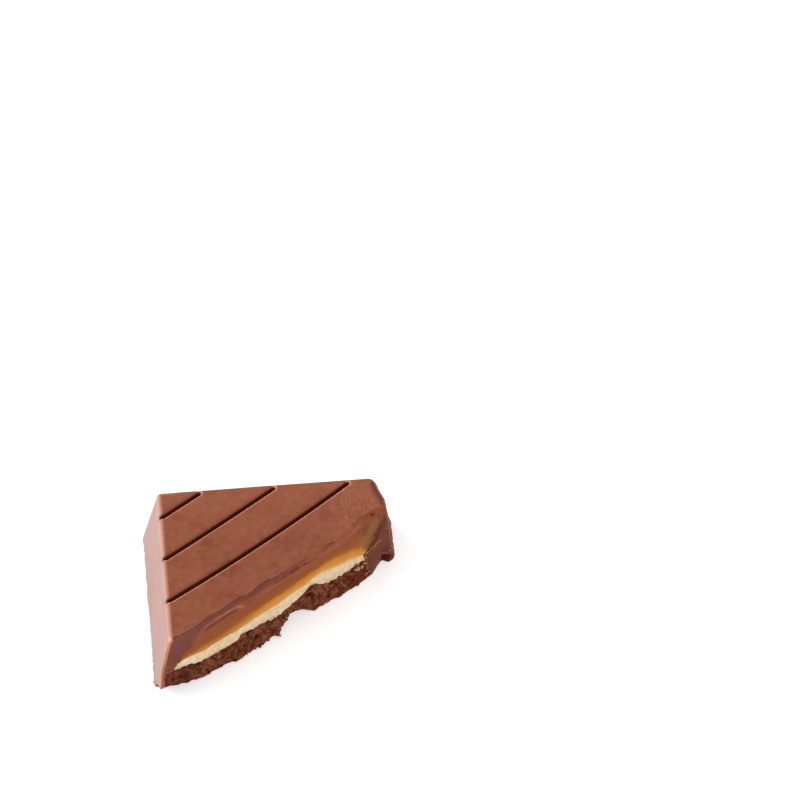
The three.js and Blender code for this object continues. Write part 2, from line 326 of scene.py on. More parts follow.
def stroke_mask(along, z, start, end, width):
    """1 on the middle of a stroke, falling softly to 0 to its sides"""
    run, rise = end[0] - start[0], end[1] - start[1]
    part = ((along - start[0]) * run + (z - start[1]) * rise) / (run**2 + rise**2)
    part = np.clip(part, 0, 1)
    gap2 = (along - start[0] - part * run) ** 2 + (z - start[1] - part * rise) ** 2
    return np.exp(-gap2 / width**2)


PIT_LENGTH = 0.2


def pit_mask(along, z, place, level, radius, rise=0.0):
    """1 in the middle of a short pit, falling softly to 0 around it"""
    return stroke_mask(along, z, (place, level), (place + PIT_LENGTH, level + rise), radius)


def hollow_share(along, z):
    """1 in the middle of the hollow, falling softly to the left and quickly at its right brim"""
    soft = stroke_mask(along, z, HOLLOW_START, HOLLOW_END, HOLLOW_WIDTH)
    return soft * (1 - ease(right_of_hollow(along, z), *HOLLOW_BRIM))


def right_of_hollow(along, z):
    run, rise = HOLLOW_END[0] - HOLLOW_START[0], HOLLOW_END[1] - HOLLOW_START[1]
    across = (along - HOLLOW_START[0]) * rise - (z - HOLLOW_START[1]) * run
    return across / math.hypot(run, rise)


def shell_face(along, z):
    ceiling = curve_at(CARAMEL_TOP["line"], along)
    away = ease(z, ceiling, ceiling + LUMPS_RISE)
    away = away + (1 - ease(along, *LUMPS_LEFT)) + ease(along, *LUMPS_RIGHT)
    face = break_face(along, z)
    face = face + lumps_at(along, 0, z, SHELL_LUMPS) * np.minimum(away, 1)
    face = face + lumps_at(along, 0, z, SNAP_GRAIN)
    for start, end, width, height in SNAP_STROKES:
        face = face + height * stroke_mask(along, z, start, end, width)
    for place, level, radius, depth in SNAP_PITS:
        face = face - depth * pit_mask(along, z, place, level, radius)
    return face - HOLLOW_DEPTH * hollow_share(along, z)


def pushed_out(x, y, z):
    """How far the snap pushed the right wall out beside the face, most of it near the top"""
    _, out = face_place(x, y)
    return PUSH * ease(x, *PUSH_START) * ease(out, *PUSH_REACH) * ease(z, *PUSH_HEIGHTS)


def wall_field(x, y, z):
    """Distance outside the four leaning walls"""
    spread = TOP_SIDE / 2 + draft_at(z)
    from_middle_x = x - TOP_SIDE / 2
    from_middle_y = y - TOP_SIDE / 2
    radius = np.where(from_middle_x < 0, SHARP_CORNER, SOFT_CORNER)
    past_x = np.abs(from_middle_x) - spread + radius
    past_y = np.maximum(-from_middle_y, from_middle_y - BACK_BULGE) - spread + radius
    corner = np.hypot(np.maximum(past_x, 0), np.maximum(past_y, 0))
    wall = corner + np.minimum(np.maximum(past_x, past_y), 0) - radius
    wall = wall * math.cos(WALL_LEAN) + lumps_at(x, y, z, WALL_WAVES) - pushed_out(x, y, z)
    return wall + lumps_at(x, y, z, FOOT_FLASH) * (1 - ease(z, 0, FOOT_FLASH_HEIGHT))


def flaked_share(x, y, z):
    """1 on the strip of the right wall where a thin flake came off with the snap"""
    along, out = face_place(x, y)
    reach = FLAKE_REACH + lumps_at(x, y, z, FLAKE_EDGE)
    near = ease(along, *FLAKE_START) * ease(out, -reach, -reach + FLAKE_FADE)
    return near * (1 - ease(z, *FLAKE_TOP))


def top_edge(x, y):
    """Height and width of the top edge's rounding: crisp at the back, worn wider on the right"""
    low, high = BACK_EDGE_TURN
    back_is_near = ease(y - x, low, high) * ease(y + x, TOP_SIDE + low, TOP_SIDE + high)
    right_is_near = ease(x - y, *RIGHT_EDGE_TURN) * ease(x, *RIGHT_EDGE_START)
    height = mix(TOP_EDGE_RADIUS, BACK_EDGE_RADIUS, back_is_near)
    width = mix(height, RIGHT_EDGE_WIDTH, right_is_near)
    return mix(height, RIGHT_EDGE_HEIGHT, right_is_near), width


def groove_line(index):
    """Where a groove's middle line crosses x = 0, and the x at its two ends"""
    start_y = FIRST_GROOVE_Y - index * GROOVE_SPACING
    return start_y, GROOVE_START, (TOP_SIDE - GROOVE_ENDS[index] - start_y) / GROOVE_SLOPE


def groove_field(x, y, z, index):
    """Distance outside a groove, and how much its lip is rounded there"""
    start_y, start_x, end_x = groove_line(index)
    part = np.clip((x - start_x) / (end_x - start_x), 0, 1)
    bow = 4 * GROOVE_BOWS[index] * part * (1 - part)
    across = (y + bow - start_y - GROOVE_SLOPE * x) * math.cos(GROOVE_TURN)
    from_start = (x - start_x) * math.cos(GROOVE_TURN)
    from_start = from_start + (y - start_y - GROOVE_SLOPE * start_x) * math.sin(GROOVE_TURN)
    length = (end_x - start_x) / math.cos(GROOVE_TURN)
    beyond = np.maximum(np.maximum(-from_start, from_start - length), 0)
    side = np.hypot(beyond, across) - GROOVE_WIDTH / 2
    lip = mix(GROOVE_NEAR_LIP, GROOVE_FAR_LIP, ease(across, *GROOVE_LIP_TURN))
    return round_edge(side, HEIGHT - GROOVE_DEPTH - z, GROOVE_FLOOR_RADIUS), lip


def level_at(layer_top, x, y):
    """A layer's height: its line at the snapped face, settling to one level further in"""
    along, out = face_place(x, y)
    settled = np.exp(-np.maximum(0, -out) / SETTLING_DEPTH)
    line = curve_at(layer_top["line"], along)
    return mix(layer_top["level"], line, settled) + layer_top["waves"] * lumps_at(x, y, 0, LAYER_WAVES)


def near_face(x, y):
    """1 at the snapped face, 0 deep inside, where no seam is seen"""
    _, out = face_place(x, y)
    return ease(out, -SEAM_DEPTH, -SEAM_DEPTH / 2)


def crumb_top(x, y, z):
    seam = lumps_at(x, y, z, SEAM_LUMPS) + lumps_at(x, y, z, SEAM_CRUMBS)
    return level_at(CRUMB_TOP, x, y) + seam * near_face(x, y)


def cream_top(x, y, z):
    return level_at(CREAM_TOP, x, y) + lumps_at(x, y, z, CREAM_SEAM_LUMPS) * near_face(x, y)


def caramel_top(x, y):
    """The chocolate's ceiling comes down in a fillet towards the sides"""
    from_right = TOP_SIDE - CARAMEL_SIDES["right"] - x
    from_back = TOP_SIDE - CARAMEL_SIDES["back"] - y
    nearest = np.maximum(0, np.minimum(from_right, from_back))
    return level_at(CARAMEL_TOP, x, y) - CEILING_DROP * np.exp(-nearest / CEILING_DROP_REACH)


def room_field(x, y, z, sides, bottom, top, radius=ROOM_CORNER):
    """The room of one layer, without an end at the snapped face"""
    left = sides["left"] - draft_at(z) - x
    right = x - (TOP_SIDE + draft_at(z) - sides["right"])
    back = y - (TOP_SIDE + draft_at(z) - sides["back"])
    side = np.maximum(np.maximum(left, right), back)
    return round_edge(round_edge(side, z - top, radius), bottom - z, radius)


def crumb_room(x, y, z):
    ragged = lumps_at(x, y, z, SIDE_LUMPS) + lumps_at(x, y, z, SIDE_CRUMBS)
    room = room_field(x, y, z, CRUMB_SIDES, BELOW_TABLE, crumb_top(x, y, z))
    at_ends = 1 - ease(x, *RAGGED_LEFT) + ease(x, *RAGGED_RIGHT)
    return room + ragged * near_face(x, y) * at_ends


def cream_room(x, y, z):
    bottom = crumb_top(x, y, z) - OVERLAP
    return room_field(x, y, z, CREAM_SIDES, bottom, cream_top(x, y, z), SEAM_CORNER)


def caramel_room(x, y, z, overlap=0.0):
    bottom = cream_top(x, y, z) - OVERLAP
    return room_field(x, y, z, CARAMEL_SIDES, bottom, caramel_top(x, y) + overlap, SEAM_CORNER)


def joined_rooms(first, second):
    """The field of two rooms that touch, with no skin of chocolate left between them"""
    near = np.maximum(JOIN_REACH - np.abs(first - second), 0) / JOIN_REACH
    return np.minimum(first, second) - near**2 * JOIN_REACH / 4


def shell_field(x, y, z):
    along, out = face_place(x, y)
    flake = FLAKE_DEPTH + lumps_at(x, y, z, FLAKE_LUMPS)
    wall = wall_field(x, y, z) + flake * flaked_share(x, y, z)
    edge_height, edge_width = top_edge(x, y)
    body = round_edge(wall * edge_height / edge_width, z - HEIGHT, edge_height)
    body = round_edge(body, -z, FOOT_EDGE_RADIUS)
    for index in range(len(GROOVE_BOWS)):
        groove, lip = groove_field(x, y, z, index)
        body = round_edge(body, -groove, lip)
    body = round_edge(body, out - shell_face(along, z), SNAP_EDGE_RADIUS)
    rooms = joined_rooms(crumb_room(x, y, z), cream_room(x, y, z))
    rooms = joined_rooms(rooms, caramel_room(x, y, z))
    return np.maximum(body, -(rooms + OVERLAP))


def caramel_field(x, y, z):
    """Its top runs on into the chocolate, where its face dips under, so that no seam is left"""
    along, out = face_place(x, y)
    above_ceiling = z - caramel_top(x, y)
    face = break_face(along, z) + CARAMEL_SWELL * ease(-above_ceiling, 0, CARAMEL_SWELL_REACH)
    face = face - CEILING_DIP * ease(above_ceiling, CEILING_DIP_START, CEILING_OVERLAP)
    face = face - HOLLOW_DEPTH * hollow_share(along, z)
    return round_edge(caramel_room(x, y, z, CEILING_OVERLAP), out - face, SEAM_CORNER)


def cream_field(x, y, z):
    along, out = face_place(x, y)
    face = break_face(along, z) + lumps_at(along, 0, z, CREAM_LUMPS)
    face = face + lumps_at(x, y, z, CREAM_CURDS)
    return round_edge(cream_room(x, y, z), out - face, CREAM_EDGE_RADIUS)


# Grains pressed into the crumb: size, height and seed
COOKIE_GRAINS = (0.9, 0.38, 61)
COOKIE_CRUMBS = (0.4, 0.16, 67)
# Pits in the crumb: along, z and radius
CRUMB_PITS = [
    (4.1, 2.6, 0.35), (7.1, 1.7, 0.32), (7.6, 2.9, 0.22), (12.3, 2.85, 0.4), (13.1, 1.6, 0.34),
    (15.5, 2.5, 0.25), (17.0, 2.6, 0.3), (21.0, 1.6, 0.3), (22.4, 2.8, 0.33), (26.2, 1.9, 0.28),
    (29.6, 2.2, 0.25), (30.8, 2.7, 0.3), (10.1, 1.2, 0.26), (2.2, 1.5, 0.3), (24.6, 1.0, 0.26),
]
CRUMB_PIT_DEPTH = 0.9
CRUMB_PIT_RISE = 0.1
CRUMB_SWELL = 0.1
# The share of the relief at the foot, and the height where it is whole
FLOOR_RELIEF = 0.35
FLOOR_RELIEF_HEIGHT = 1


def grain_relief(x, y, z, kind):
    size, height, seed = kind
    nearest, _ = nearest_grain(x, y, z, size, seed)
    return height * (0.5 - nearest)


def crumb_face(along, z):
    relief = lumps_at(along, 0, z, CRUMB_LUMPS) + lumps_at(along, 0, z, CRUMB_GRAINS)
    relief = relief * mix(FLOOR_RELIEF, 1, ease(z, 0, FLOOR_RELIEF_HEIGHT))
    face = break_face(along, z) + CRUMB_SWELL + relief
    for place, level, radius in CRUMB_PITS:
        face = face - CRUMB_PIT_DEPTH * pit_mask(along, z, place, level, radius, CRUMB_PIT_RISE)
    return face


def crumb_field(x, y, z):
    along, out = face_place(x, y)
    face = crumb_face(along, z) + grain_relief(x, y, z, COOKIE_GRAINS)
    face = face + grain_relief(x, y, z, COOKIE_CRUMBS) + lumps_at(x, y, z, CRUMB_DUST)
    body = round_edge(crumb_room(x, y, z), out - face, SEAM_CORNER)
    return np.maximum(body, -z)


# Meshes

frame_low, frame_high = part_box("milk_chocolate_shell")
TO_FRAME = np.array([
    frame_low.x / MM + DRAFT,
    frame_high.y / MM - TOP_SIDE - DRAFT,
    frame_low.z / MM,
])
MARGIN = 1.2
BAND_STEPS = 3
SLIVER = 0.001

# Grid step in millimetres and most triangles of each layer
SHELL_MESH = (0.15, 190000)
CARAMEL_MESH = (0.14, 60000)
CREAM_MESH = (0.13, 90000)
CRUMB_MESH = (0.12, 190000)


def sampled(field, low, high, step):
    """The field's values on a grid, one upright slice after the other"""
    x_axis, y_axis, z_axis = [np.arange(a, b + step, step) for a, b in zip(low, high)]
    y, z = np.meshgrid(y_axis, z_axis, indexing="ij")
    values = np.empty((len(x_axis), *y.shape), np.float32)
    for index, x in enumerate(x_axis):
        values[index] = field(x, y, z)
    return values


def surface_of(field, low, high, step):
    """Vertices in millimetres and faces of the surface where the field is zero"""
    low = np.array(low) - MARGIN
    high = np.array(high) + MARGIN
    far = BAND_STEPS * step
    grid = openvdb.FloatGrid(far)
    grid.copyFromArray(np.clip(sampled(field, low, high, step), -far, far))
    points, triangles, quads = grid.convertToPolygons(0.0, 0.0)
    halves = [quads[:, [2, 1, 0]], quads[:, [0, 3, 2]]]
    return low + points * step, np.concatenate([triangles[:, ::-1], *halves])


def without_scraps(points, faces):
    """The largest part of a surface, without the loose scraps beside it"""
    part = np.arange(len(points))
    ends = faces[:, [0, 1, 1, 2]].reshape(-1, 2)
    while (part[ends[:, 0]] != part[ends[:, 1]]).any():
        lower = part[ends].min(axis=1)
        np.minimum.at(part, part[ends[:, 0]], lower)
        np.minimum.at(part, part[ends[:, 1]], lower)
        part = part[part]
    kept = part == np.bincount(part).argmax()
    number = np.cumsum(kept) - 1
    return points[kept], number[faces[kept[faces[:, 0]]]]


def new_piece(name, points, faces):
    mesh = bpy.data.meshes.new(name)
    mesh.from_pydata((points + TO_FRAME) * MM, [], faces)
    mesh.shade_smooth()
    piece = bpy.data.objects.new(name, mesh)
    bpy.context.scene.collection.objects.link(piece)
    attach(piece, "root")
    return piece


def thin_out(piece, most):
    """Joins the smallest triangles of the smooth stretches until only so many are left"""
    piece.data.calc_loop_triangles()
    count = len(piece.data.loop_triangles)
    if count > most:
        thinner = piece.modifiers.new("thinner", "DECIMATE")
        thinner.ratio = most / count
        bpy.context.view_layer.objects.active = piece
        bpy.ops.object.modifier_apply(modifier=thinner.name)
        surface = bmesh.new()
        surface.from_mesh(piece.data)
        bmesh.ops.dissolve_degenerate(surface, dist=SLIVER * MM, edges=surface.edges)
        surface.to_mesh(piece.data)
        surface.free()
    return piece


def points_of(piece):
    """The mesh's vertices, back in millimetres from the top face's corner"""
    points = np.empty(len(piece.data.vertices) * 3)
    piece.data.vertices.foreach_get("co", points)
    return points.reshape(-1, 3) / MM - TO_FRAME


def note_on(piece, name, values):
    """Keeps one number for each vertex, which a material can read"""
    layer = piece.data.attributes.new(name, "FLOAT", "POINT")
    layer.data.foreach_set("value", np.asarray(values, np.float32))


def layer_piece(name, slot, field, step, most):
    low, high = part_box(name)
    low = np.array(low) / MM - TO_FRAME
    high = np.array(high) / MM - TO_FRAME
    points, faces = without_scraps(*surface_of(field, low, high, step))
    piece = thin_out(new_piece(name + "_look", points, faces), most)
    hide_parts(name)
    return piece


shell = layer_piece("milk_chocolate_shell", "milk_chocolate", shell_field, *SHELL_MESH)
caramel = layer_piece("caramel_layer", "caramel", caramel_field, *CARAMEL_MESH)
cream = layer_piece("cheese_cream_layer", "cheese_cream", cream_field, *CREAM_MESH)
crumb = layer_piece("cocoa_crumb_base", "cocoa_crumb", crumb_field, *CRUMB_MESH)


# Crumbs and chips, each kind joined in one mesh

GRAIN_FINENESS = 3
GRAIN_BULGES = (1, 0.35, 83)
GRAIN_KNOBS = (1, 0.16, 89)
BULGES_IN_RADIUS = 1.1
KNOBS_IN_RADIUS = 3
GRAIN_STRETCH = (0.65, 1.2)
PATTERN_REACH = 90


def grain_shape(rng, size):
    """One irregular grain about its own middle"""
    ball = bmesh.new()
    bmesh.ops.create_icosphere(ball, subdivisions=GRAIN_FINENESS, radius=1)
    points = np.array([vertex.co for vertex in ball.verts])
    faces = np.array([[vertex.index for vertex in face.verts] for face in ball.faces])
    ball.free()
    place = rng.uniform(0, PATTERN_REACH, 3)
    bulges = lumps_at(*(points * BULGES_IN_RADIUS + place).T, GRAIN_BULGES)
    bulges = bulges + lumps_at(*(points * KNOBS_IN_RADIUS + place).T, GRAIN_KNOBS)
    points = points * (1 + bulges)[:, None] * rng.uniform(*GRAIN_STRETCH, 3) * size / 2
    turn, _ = np.linalg.qr(rng.normal(size=(3, 3)))
    return points @ turn, faces


def grain_piece(name, seed, spots):
    """A mesh of grains, each given as (x, y, z, size), and each grain's own number"""
    rng = np.random.default_rng(seed)
    all_points, all_faces, numbers = [], [], []
    count = 0
    for x, y, z, size in spots:
        points, faces = grain_shape(rng, size)
        points = points + (x, y, z)
        points[:, 2] = np.maximum(points[:, 2], 0)
        all_points.append(points)
        all_faces.append(faces + count)
        numbers.append(np.full(len(points), rng.uniform(-1, 1)))
        count += len(points)
    piece = new_piece(name, np.concatenate(all_points), np.concatenate(all_faces))
    return piece, np.concatenate(numbers)


def on_face(along, z, face, stand_out):
    """The place of a grain on a snapped face, standing out from it a little"""
    along, z = np.array([along]), np.array([z])
    x, y = plan_point(along, face(along, z) + stand_out)
    return x[0], y[0], z[0]


def placed(spots, face, stand_out):
    """Grains at chosen places on a face, each one given as (along, z, size)"""
    return [(*on_face(along, z, face, stand_out), size) for along, z, size in spots]


def scattered(seed, count, span, heights, sizes, face):
    """Grains strewn on a face, between two distances along it and two heights"""
    rng = np.random.default_rng(seed)
    smallest, largest = sizes
    spots = []
    for _ in range(count):
        along = rng.uniform(*span)
        z = rng.uniform(*heights)
        size = smallest + (largest - smallest) * rng.uniform() ** 2
        spots.append((*on_face(along, z, face, size * CRUMB_STAND_OUT), size))
    return spots


def strewn_along(seed, line, spacing, sizes, stray, face):
    """Grains one after the other along a line of (along, z) points"""
    rng = np.random.default_rng(seed)
    spots = []
    for (start_along, start_z), (end_along, end_z) in zip(line, line[1:]):
        steps = max(1, round(math.hypot(end_along - start_along, end_z - start_z) / spacing))
        for step in range(steps):
            part = (step + rng.uniform()) / steps
            along = mix(start_along, end_along, part) + rng.normal() * stray
            z = mix(start_z, end_z, part) + rng.normal() * stray
            size = rng.uniform(*sizes)
            spots.append((*on_face(along, z, face, size * CHIP_STAND_OUT), size))
    return spots


# How far grains stand out: as a share of their size, and in millimetres where they are placed
CRUMB_STAND_OUT = 0.15
CHIP_STAND_OUT = 0.1
HOOKED_STAND_OUT = 0.15
CHEESE_STAND_OUT = 0.1

# Seeds of the grains' own shapes and numbers
COOKIE_SEED = 103
CHEESE_SEED = 107
CHIP_SEED = 131

# Scattered crumbs: seed, count, span along the face, heights and sizes
CRUMB_SCATTER = (101, 150, (0.5, 31.0), (0.1, 2.9), (0.14, 0.42))
HOOKED_CRUMB = [(16.2, 0.4, 0.4), (16.5, 0.2, 0.28)]
# Lines of chips: seed, line, spacing, sizes and stray
RIGHT_RIM = [
    (34.1, 9.9), (34.9, 9.0), (35.0, 8.2), (35.3, 6.9), (36.0, 4.9), (36.3, 3.0), (36.3, 1.2),
]
RIM_NOTCH = [(34.0, 0.9), (34.8, 1.7), (35.9, 1.8)]
CHOCOLATE_SEAM = [(32.2, 3.9), (31.8, 3.0), (31.9, 1.8), (31.4, 0.5)]
HOLLOW_SILL = [(32.5, 3.9), (33.6, 4.5), (34.4, 4.95)]
CHIP_LINES = [
    (109, RIGHT_RIM, 0.7, (0.08, 0.2), 0.14),
    (113, RIM_NOTCH, 0.25, (0.1, 0.26), 0.08),
    (127, CHOCOLATE_SEAM, 0.2, (0.12, 0.36), 0.14),
    (137, HOLLOW_SILL, 0.2, (0.1, 0.26), 0.05),
]
# Bits of cheese as along, z and size, and chips at the foot as x, y, z and size
CHEESE_BITS = [
    (29.8, 2.75, 0.3), (30.25, 2.6, 0.5), (30.75, 2.5, 0.35), (31.1, 2.25, 0.45), (31.55, 2.5, 0.3),
    (30.5, 2.2, 0.25), (31.3, 2.85, 0.22), (29.5, 2.4, 0.2), (31.85, 2.2, 0.22), (28.6, 2.7, 0.2),
]
FOOT_CHIPS = [
    (-1.9, 5.0, 0.12, 0.45), (-1.65, 4.75, 0.2, 0.35), (-2.2, 5.5, 0.1, 0.3), (-1.5, 4.5, 0.1, 0.3),
]

crumb_spots = scattered(*CRUMB_SCATTER, crumb_face)
crumb_spots += placed(HOOKED_CRUMB, crumb_face, HOOKED_STAND_OUT)
cookie_crumbs, crumb_numbers = grain_piece("cookie_crumbs", COOKIE_SEED, crumb_spots)

cheese_spots = placed(CHEESE_BITS, crumb_face, CHEESE_STAND_OUT)
cheese_crumbs, _ = grain_piece("cheese_crumbs", CHEESE_SEED, cheese_spots)

chip_spots = []
for chip_line in CHIP_LINES:
    chip_spots += strewn_along(*chip_line, shell_face)
chip_spots += FOOT_CHIPS
chocolate_chips, _ = grain_piece("chocolate_chips", CHIP_SEED, chip_spots)

# What each vertex knows of its place, for the materials

# The top of the caramel's glow, as (along, z)
GLOW_TOP = [
    (1.5, 5.35), (3, 5.85), (7, 6.05), (12, 6.45), (17, 6.7), (22, 6.9), (26, 7.15),
    (29, 6.7), (31, 5.7), (32.5, 4.6),
]
THINNEST_BAND = 0.25
CARAMEL_LEFT_END = (0.8, 2.2)
CARAMEL_RIGHT_END = (31.3, 32.8)
# How far along the purple tint and the crumb go, as (z, along)
PURPLE_END = [(5.5, 2.3), (8.0, 3.4), (9.2, 4.4), (9.8, 12.0), (10.3, 19.0)]
CRUMB_END = [(0, 27.6), (1, 28.2), (2.4, 30.6)]
# A spot of painted highlight on a corner: along, z and radius
CORNER_HIGHLIGHT_SPOT = (0.1, 10.35, 0.3)
# The height of a stroke whose pale smear and painted highlight are full, and how deep the places with
# the darkest painted shade lie
FULL_SMEAR_AND_HIGHLIGHT = 0.07
DEEP_IN_SHELL = (0.45, 0.8)
DEEP_IN_CRUMB = (0.2, 0.7)
# Crevices and their painted shade start at these distances from a grain's middle, in grain sizes
GRAIN_EDGE = (0.5, 0.8)
BIT_EDGE = (0.45, 0.75)
GRAIN_TONE_SHARE = 0.4
BIT_TONE_SHARE = 0.6
CHEESE_CRUMB_LEVEL = 0.2
# The share of the corner's painted highlight that the chips take
CHIP_HIGHLIGHT = 0.45


def note_shell(piece):
    x, y, z = points_of(piece).T
    along, out = face_place(x, y)
    note_on(piece, "behind_face", shell_face(along, z) - out)
    note_on(piece, "below_wall", -wall_field(x, y, z))
    note_on(piece, "above_ceiling", z - curve_at(CARAMEL_TOP["line"], along))
    note_on(piece, "past_purple", along - curve_at(PURPLE_END, z))
    raised = np.zeros_like(along)
    sunken = np.zeros_like(along)
    for start, end, width, height in SNAP_STROKES:
        mask = stroke_mask(along, z, start, end, width)
        if height > 0:
            raised = np.maximum(raised, mask * min(1, height / FULL_SMEAR_AND_HIGHLIGHT))
        else:
            sunken = np.maximum(sunken, mask)
    for place, level, radius, _ in SNAP_PITS:
        sunken = np.maximum(sunken, pit_mask(along, z, place, level, radius))
    note_on(piece, "raised", raised)
    note_on(piece, "sunken", sunken)
    note_on(piece, "flaked", flaked_share(x, y, z))
    # How far the face lies behind its plane, for the painted shade in deep places
    note_on(piece, "deep", ease(break_face(along, z) - out, *DEEP_IN_SHELL))
    # A spot of painted highlight at the top left corner
    corner_along, corner_z, corner_radius = CORNER_HIGHLIGHT_SPOT
    gap2 = (along - corner_along) ** 2 + (z - corner_z) ** 2
    note_on(piece, "corner_highlight", np.exp(-gap2 / corner_radius**2))
    note_hollow(piece)


def note_hollow(piece):
    """How deep a vertex lies in the hollow, and how far towards its lower right side"""
    x, y, z = points_of(piece).T
    along, _ = face_place(x, y)
    note_on(piece, "in_hollow", hollow_share(along, z))
    note_on(piece, "hollow_side", right_of_hollow(along, z))


def note_caramel(piece):
    x, y, z = points_of(piece).T
    along, _ = face_place(x, y)
    cheese = curve_at(CREAM_TOP["line"], along)
    glow = curve_at(GLOW_TOP, along)
    ceiling = curve_at(CARAMEL_TOP["line"], along)
    bright_part = (z - cheese) / np.maximum(glow - cheese, THINNEST_BAND)
    dark_part = (z - glow) / np.maximum(ceiling - glow, THINNEST_BAND)
    note_on(piece, "rise", np.where(z < glow, bright_part, 1 + dark_part) / 2)
    note_on(piece, "left_end", 1 - ease(along, *CARAMEL_LEFT_END))
    note_on(piece, "right_end", ease(along, *CARAMEL_RIGHT_END))
    note_hollow(piece)


def note_cream(piece):
    x, y, z = points_of(piece).T
    along, _ = face_place(x, y)
    note_on(piece, "below_caramel", curve_at(CREAM_TOP["line"], along) - z)


def note_crumb(piece):
    x, y, z = points_of(piece).T
    along, out = face_place(x, y)
    grain_size, _, grain_seed = COOKIE_GRAINS
    bit_size, _, bit_seed = COOKIE_CRUMBS
    near_grain, grain = nearest_grain(x, y, z, grain_size, grain_seed)
    near_bit, bit = nearest_grain(x, y, z, bit_size, bit_seed)
    note_on(piece, "grain_tone", grain * GRAIN_TONE_SHARE + bit * BIT_TONE_SHARE)
    note_on(piece, "crevice", (ease(near_grain, *GRAIN_EDGE) + ease(near_bit, *BIT_EDGE)) / 2)
    note_on(piece, "pit", ease(break_face(along, z) - out, *DEEP_IN_CRUMB))
    note_on(piece, "past_end", along - curve_at(CRUMB_END, z))


def note_all(piece, name, value):
    """The same number for each vertex of a piece"""
    note_on(piece, name, np.full(len(piece.data.vertices), value))


note_shell(shell)
note_caramel(caramel)
note_cream(cream)
note_crumb(crumb)
note_on(cookie_crumbs, "grain_tone", crumb_numbers)
note_all(cheese_crumbs, "below_caramel", CHEESE_CRUMB_LEVEL)
note_all(cheese_crumbs, "smeared", 1.0)
# The chips take the raised ridges' pale smear and painted highlight, and a share of the corner's
# painted highlight
note_all(chocolate_chips, "raised", 1.0)
note_all(chocolate_chips, "corner_highlight", CHIP_HIGHLIGHT)

# Materials. Colours are written as they look in daylight, from 0 to 255. The gloss that adds to
# them is taken off, and they are divided by the light that falls on that side here.

TOP_LIGHT = 1.06
TOP_GLOSS = 0.042
CUT_LIGHT = 0.97
CUT_GLOSS = 0.028
CARAMEL_GLOSS = 0.022
DARKEST = 0.003
PALEST = 0.95


def tone(seen, light, gloss):
    """The surface's own colour, as light from 0 to 1, so that it looks like the one seen"""
    seen = np.array(seen) / 255
    linear = np.where(seen > 0.04045, ((seen + 0.055) / 1.055) ** 2.4, seen / 12.92)
    return (*np.clip((linear - gloss) / light, DARKEST, PALEST), 1.0)


def on_top(*seen):
    return tone(seen, TOP_LIGHT, TOP_GLOSS)


def on_cut(*seen):
    return tone(seen, CUT_LIGHT, CUT_GLOSS)


def on_caramel(*seen):
    return tone(seen, CUT_LIGHT, CARAMEL_GLOSS)


class Nodes:
    """Adds nodes to one tree. Every value is a plain number or colour, or a link from a node."""

    def __init__(self, tree):
        self.tree = tree

    def fill(self, node, values):
        """Gives a node its values, each one to a socket by name or number"""
        for socket, value in values.items():
            if isinstance(value, bpy.types.NodeSocket):
                self.tree.links.new(value, node.inputs[socket])
            else:
                node.inputs[socket].default_value = value
        return node

    def add(self, kind, values=None, **settings):
        node = self.tree.nodes.new(kind)
        for name, setting in settings.items():
            setattr(node, name, setting)
        return self.fill(node, values or {})

    def count(self, operation, first, second=0.0):
        return self.add("ShaderNodeMath", {0: first, 1: second}, operation=operation).outputs[0]

    def plus(self, first, second):
        return self.count("ADD", first, second)

    def minus(self, first, second):
        return self.count("SUBTRACT", first, second)

    def over(self, first, second):
        return self.count("DIVIDE", first, second)

    def times(self, *values):
        return reduce(partial(self.count, "MULTIPLY"), values)

    def most(self, *values):
        return reduce(partial(self.count, "MAXIMUM"), values)

    def size(self, value):
        return self.count("ABSOLUTE", value)

    def turn(self, value, low, high, start=0.0, end=1.0):
        """start below low, end above high and a soft turn between"""
        values = {0: value, 1: low, 2: high, 3: start, 4: end}
        return self.add("ShaderNodeMapRange", values, interpolation_type="SMOOTHSTEP").outputs[0]

    def fall(self, value, low, high):
        return self.turn(value, low, high, 1.0, 0.0)

    def blend(self, share, first, second):
        """The first colour turning into the second as share goes from 0 to 1"""
        return self.add("ShaderNodeMix", {0: share, 6: first, 7: second}, data_type="RGBA").outputs[2]

    def paint(self, colour, *coats):
        """Lays coats over a colour, each one given as its mask, its share and its own colour"""
        for mask, share, coat in coats:
            if share != 1:
                mask = self.times(mask, share)
            colour = self.blend(mask, colour, coat)
        return colour

    def note(self, name):
        """The number that each vertex keeps under that name"""
        return self.add("ShaderNodeAttribute", attribute_name=name).outputs["Fac"]

    def vectors(self, operation, values):
        return self.add("ShaderNodeVectorMath", values, operation=operation)

    def use(self, group, values=None):
        """A node group's outputs, with its own values here"""
        return self.add("ShaderNodeGroup", values, node_tree=group).outputs

    def patches(self, size, detail, low, high):
        values = {"Size": size, "Detail": detail, "Low": low, "High": high}
        return self.use(PATCHES, values)["Mask"]

    def streaks(self, along, across, length, width, low, high):
        values = {"Along": along, "Across": across, "Length": length, "Width": width}
        return self.use(STREAKS, {**values, "Low": low, "High": high})["Mask"]

    def specks(self, spacing, size, share):
        return self.use(SPECKS, {"Spacing": spacing, "Size": size, "Share": share})["Mask"]

    def wander(self, value, mask, reach):
        """Moves a value to and fro by up to half the reach, as a mask goes"""
        return self.plus(value, self.times(self.minus(mask, 0.5), reach))

    def relief(self, height, depth):
        """The normal of a fine relief with a depth in millimetres"""
        values = {"Height": height, "Distance": depth * MM, "Strength": 1.0}
        return self.add("ShaderNodeBump", values).outputs[0]


def new_group(name, inputs, outputs):
    """A node group with its sockets: its nodes, what it is given and where its results go"""
    group = bpy.data.node_groups.new(name, "ShaderNodeTree")
    for socket_name, value in inputs.items():
        socket = group.interface.new_socket(socket_name, in_out="INPUT", socket_type="NodeSocketFloat")
        socket.default_value = value
    for socket_name in outputs:
        group.interface.new_socket(socket_name, in_out="OUTPUT", socket_type="NodeSocketFloat")
    given = group.nodes.new("NodeGroupInput").outputs
    return Nodes(group), given, group.nodes.new("NodeGroupOutput")


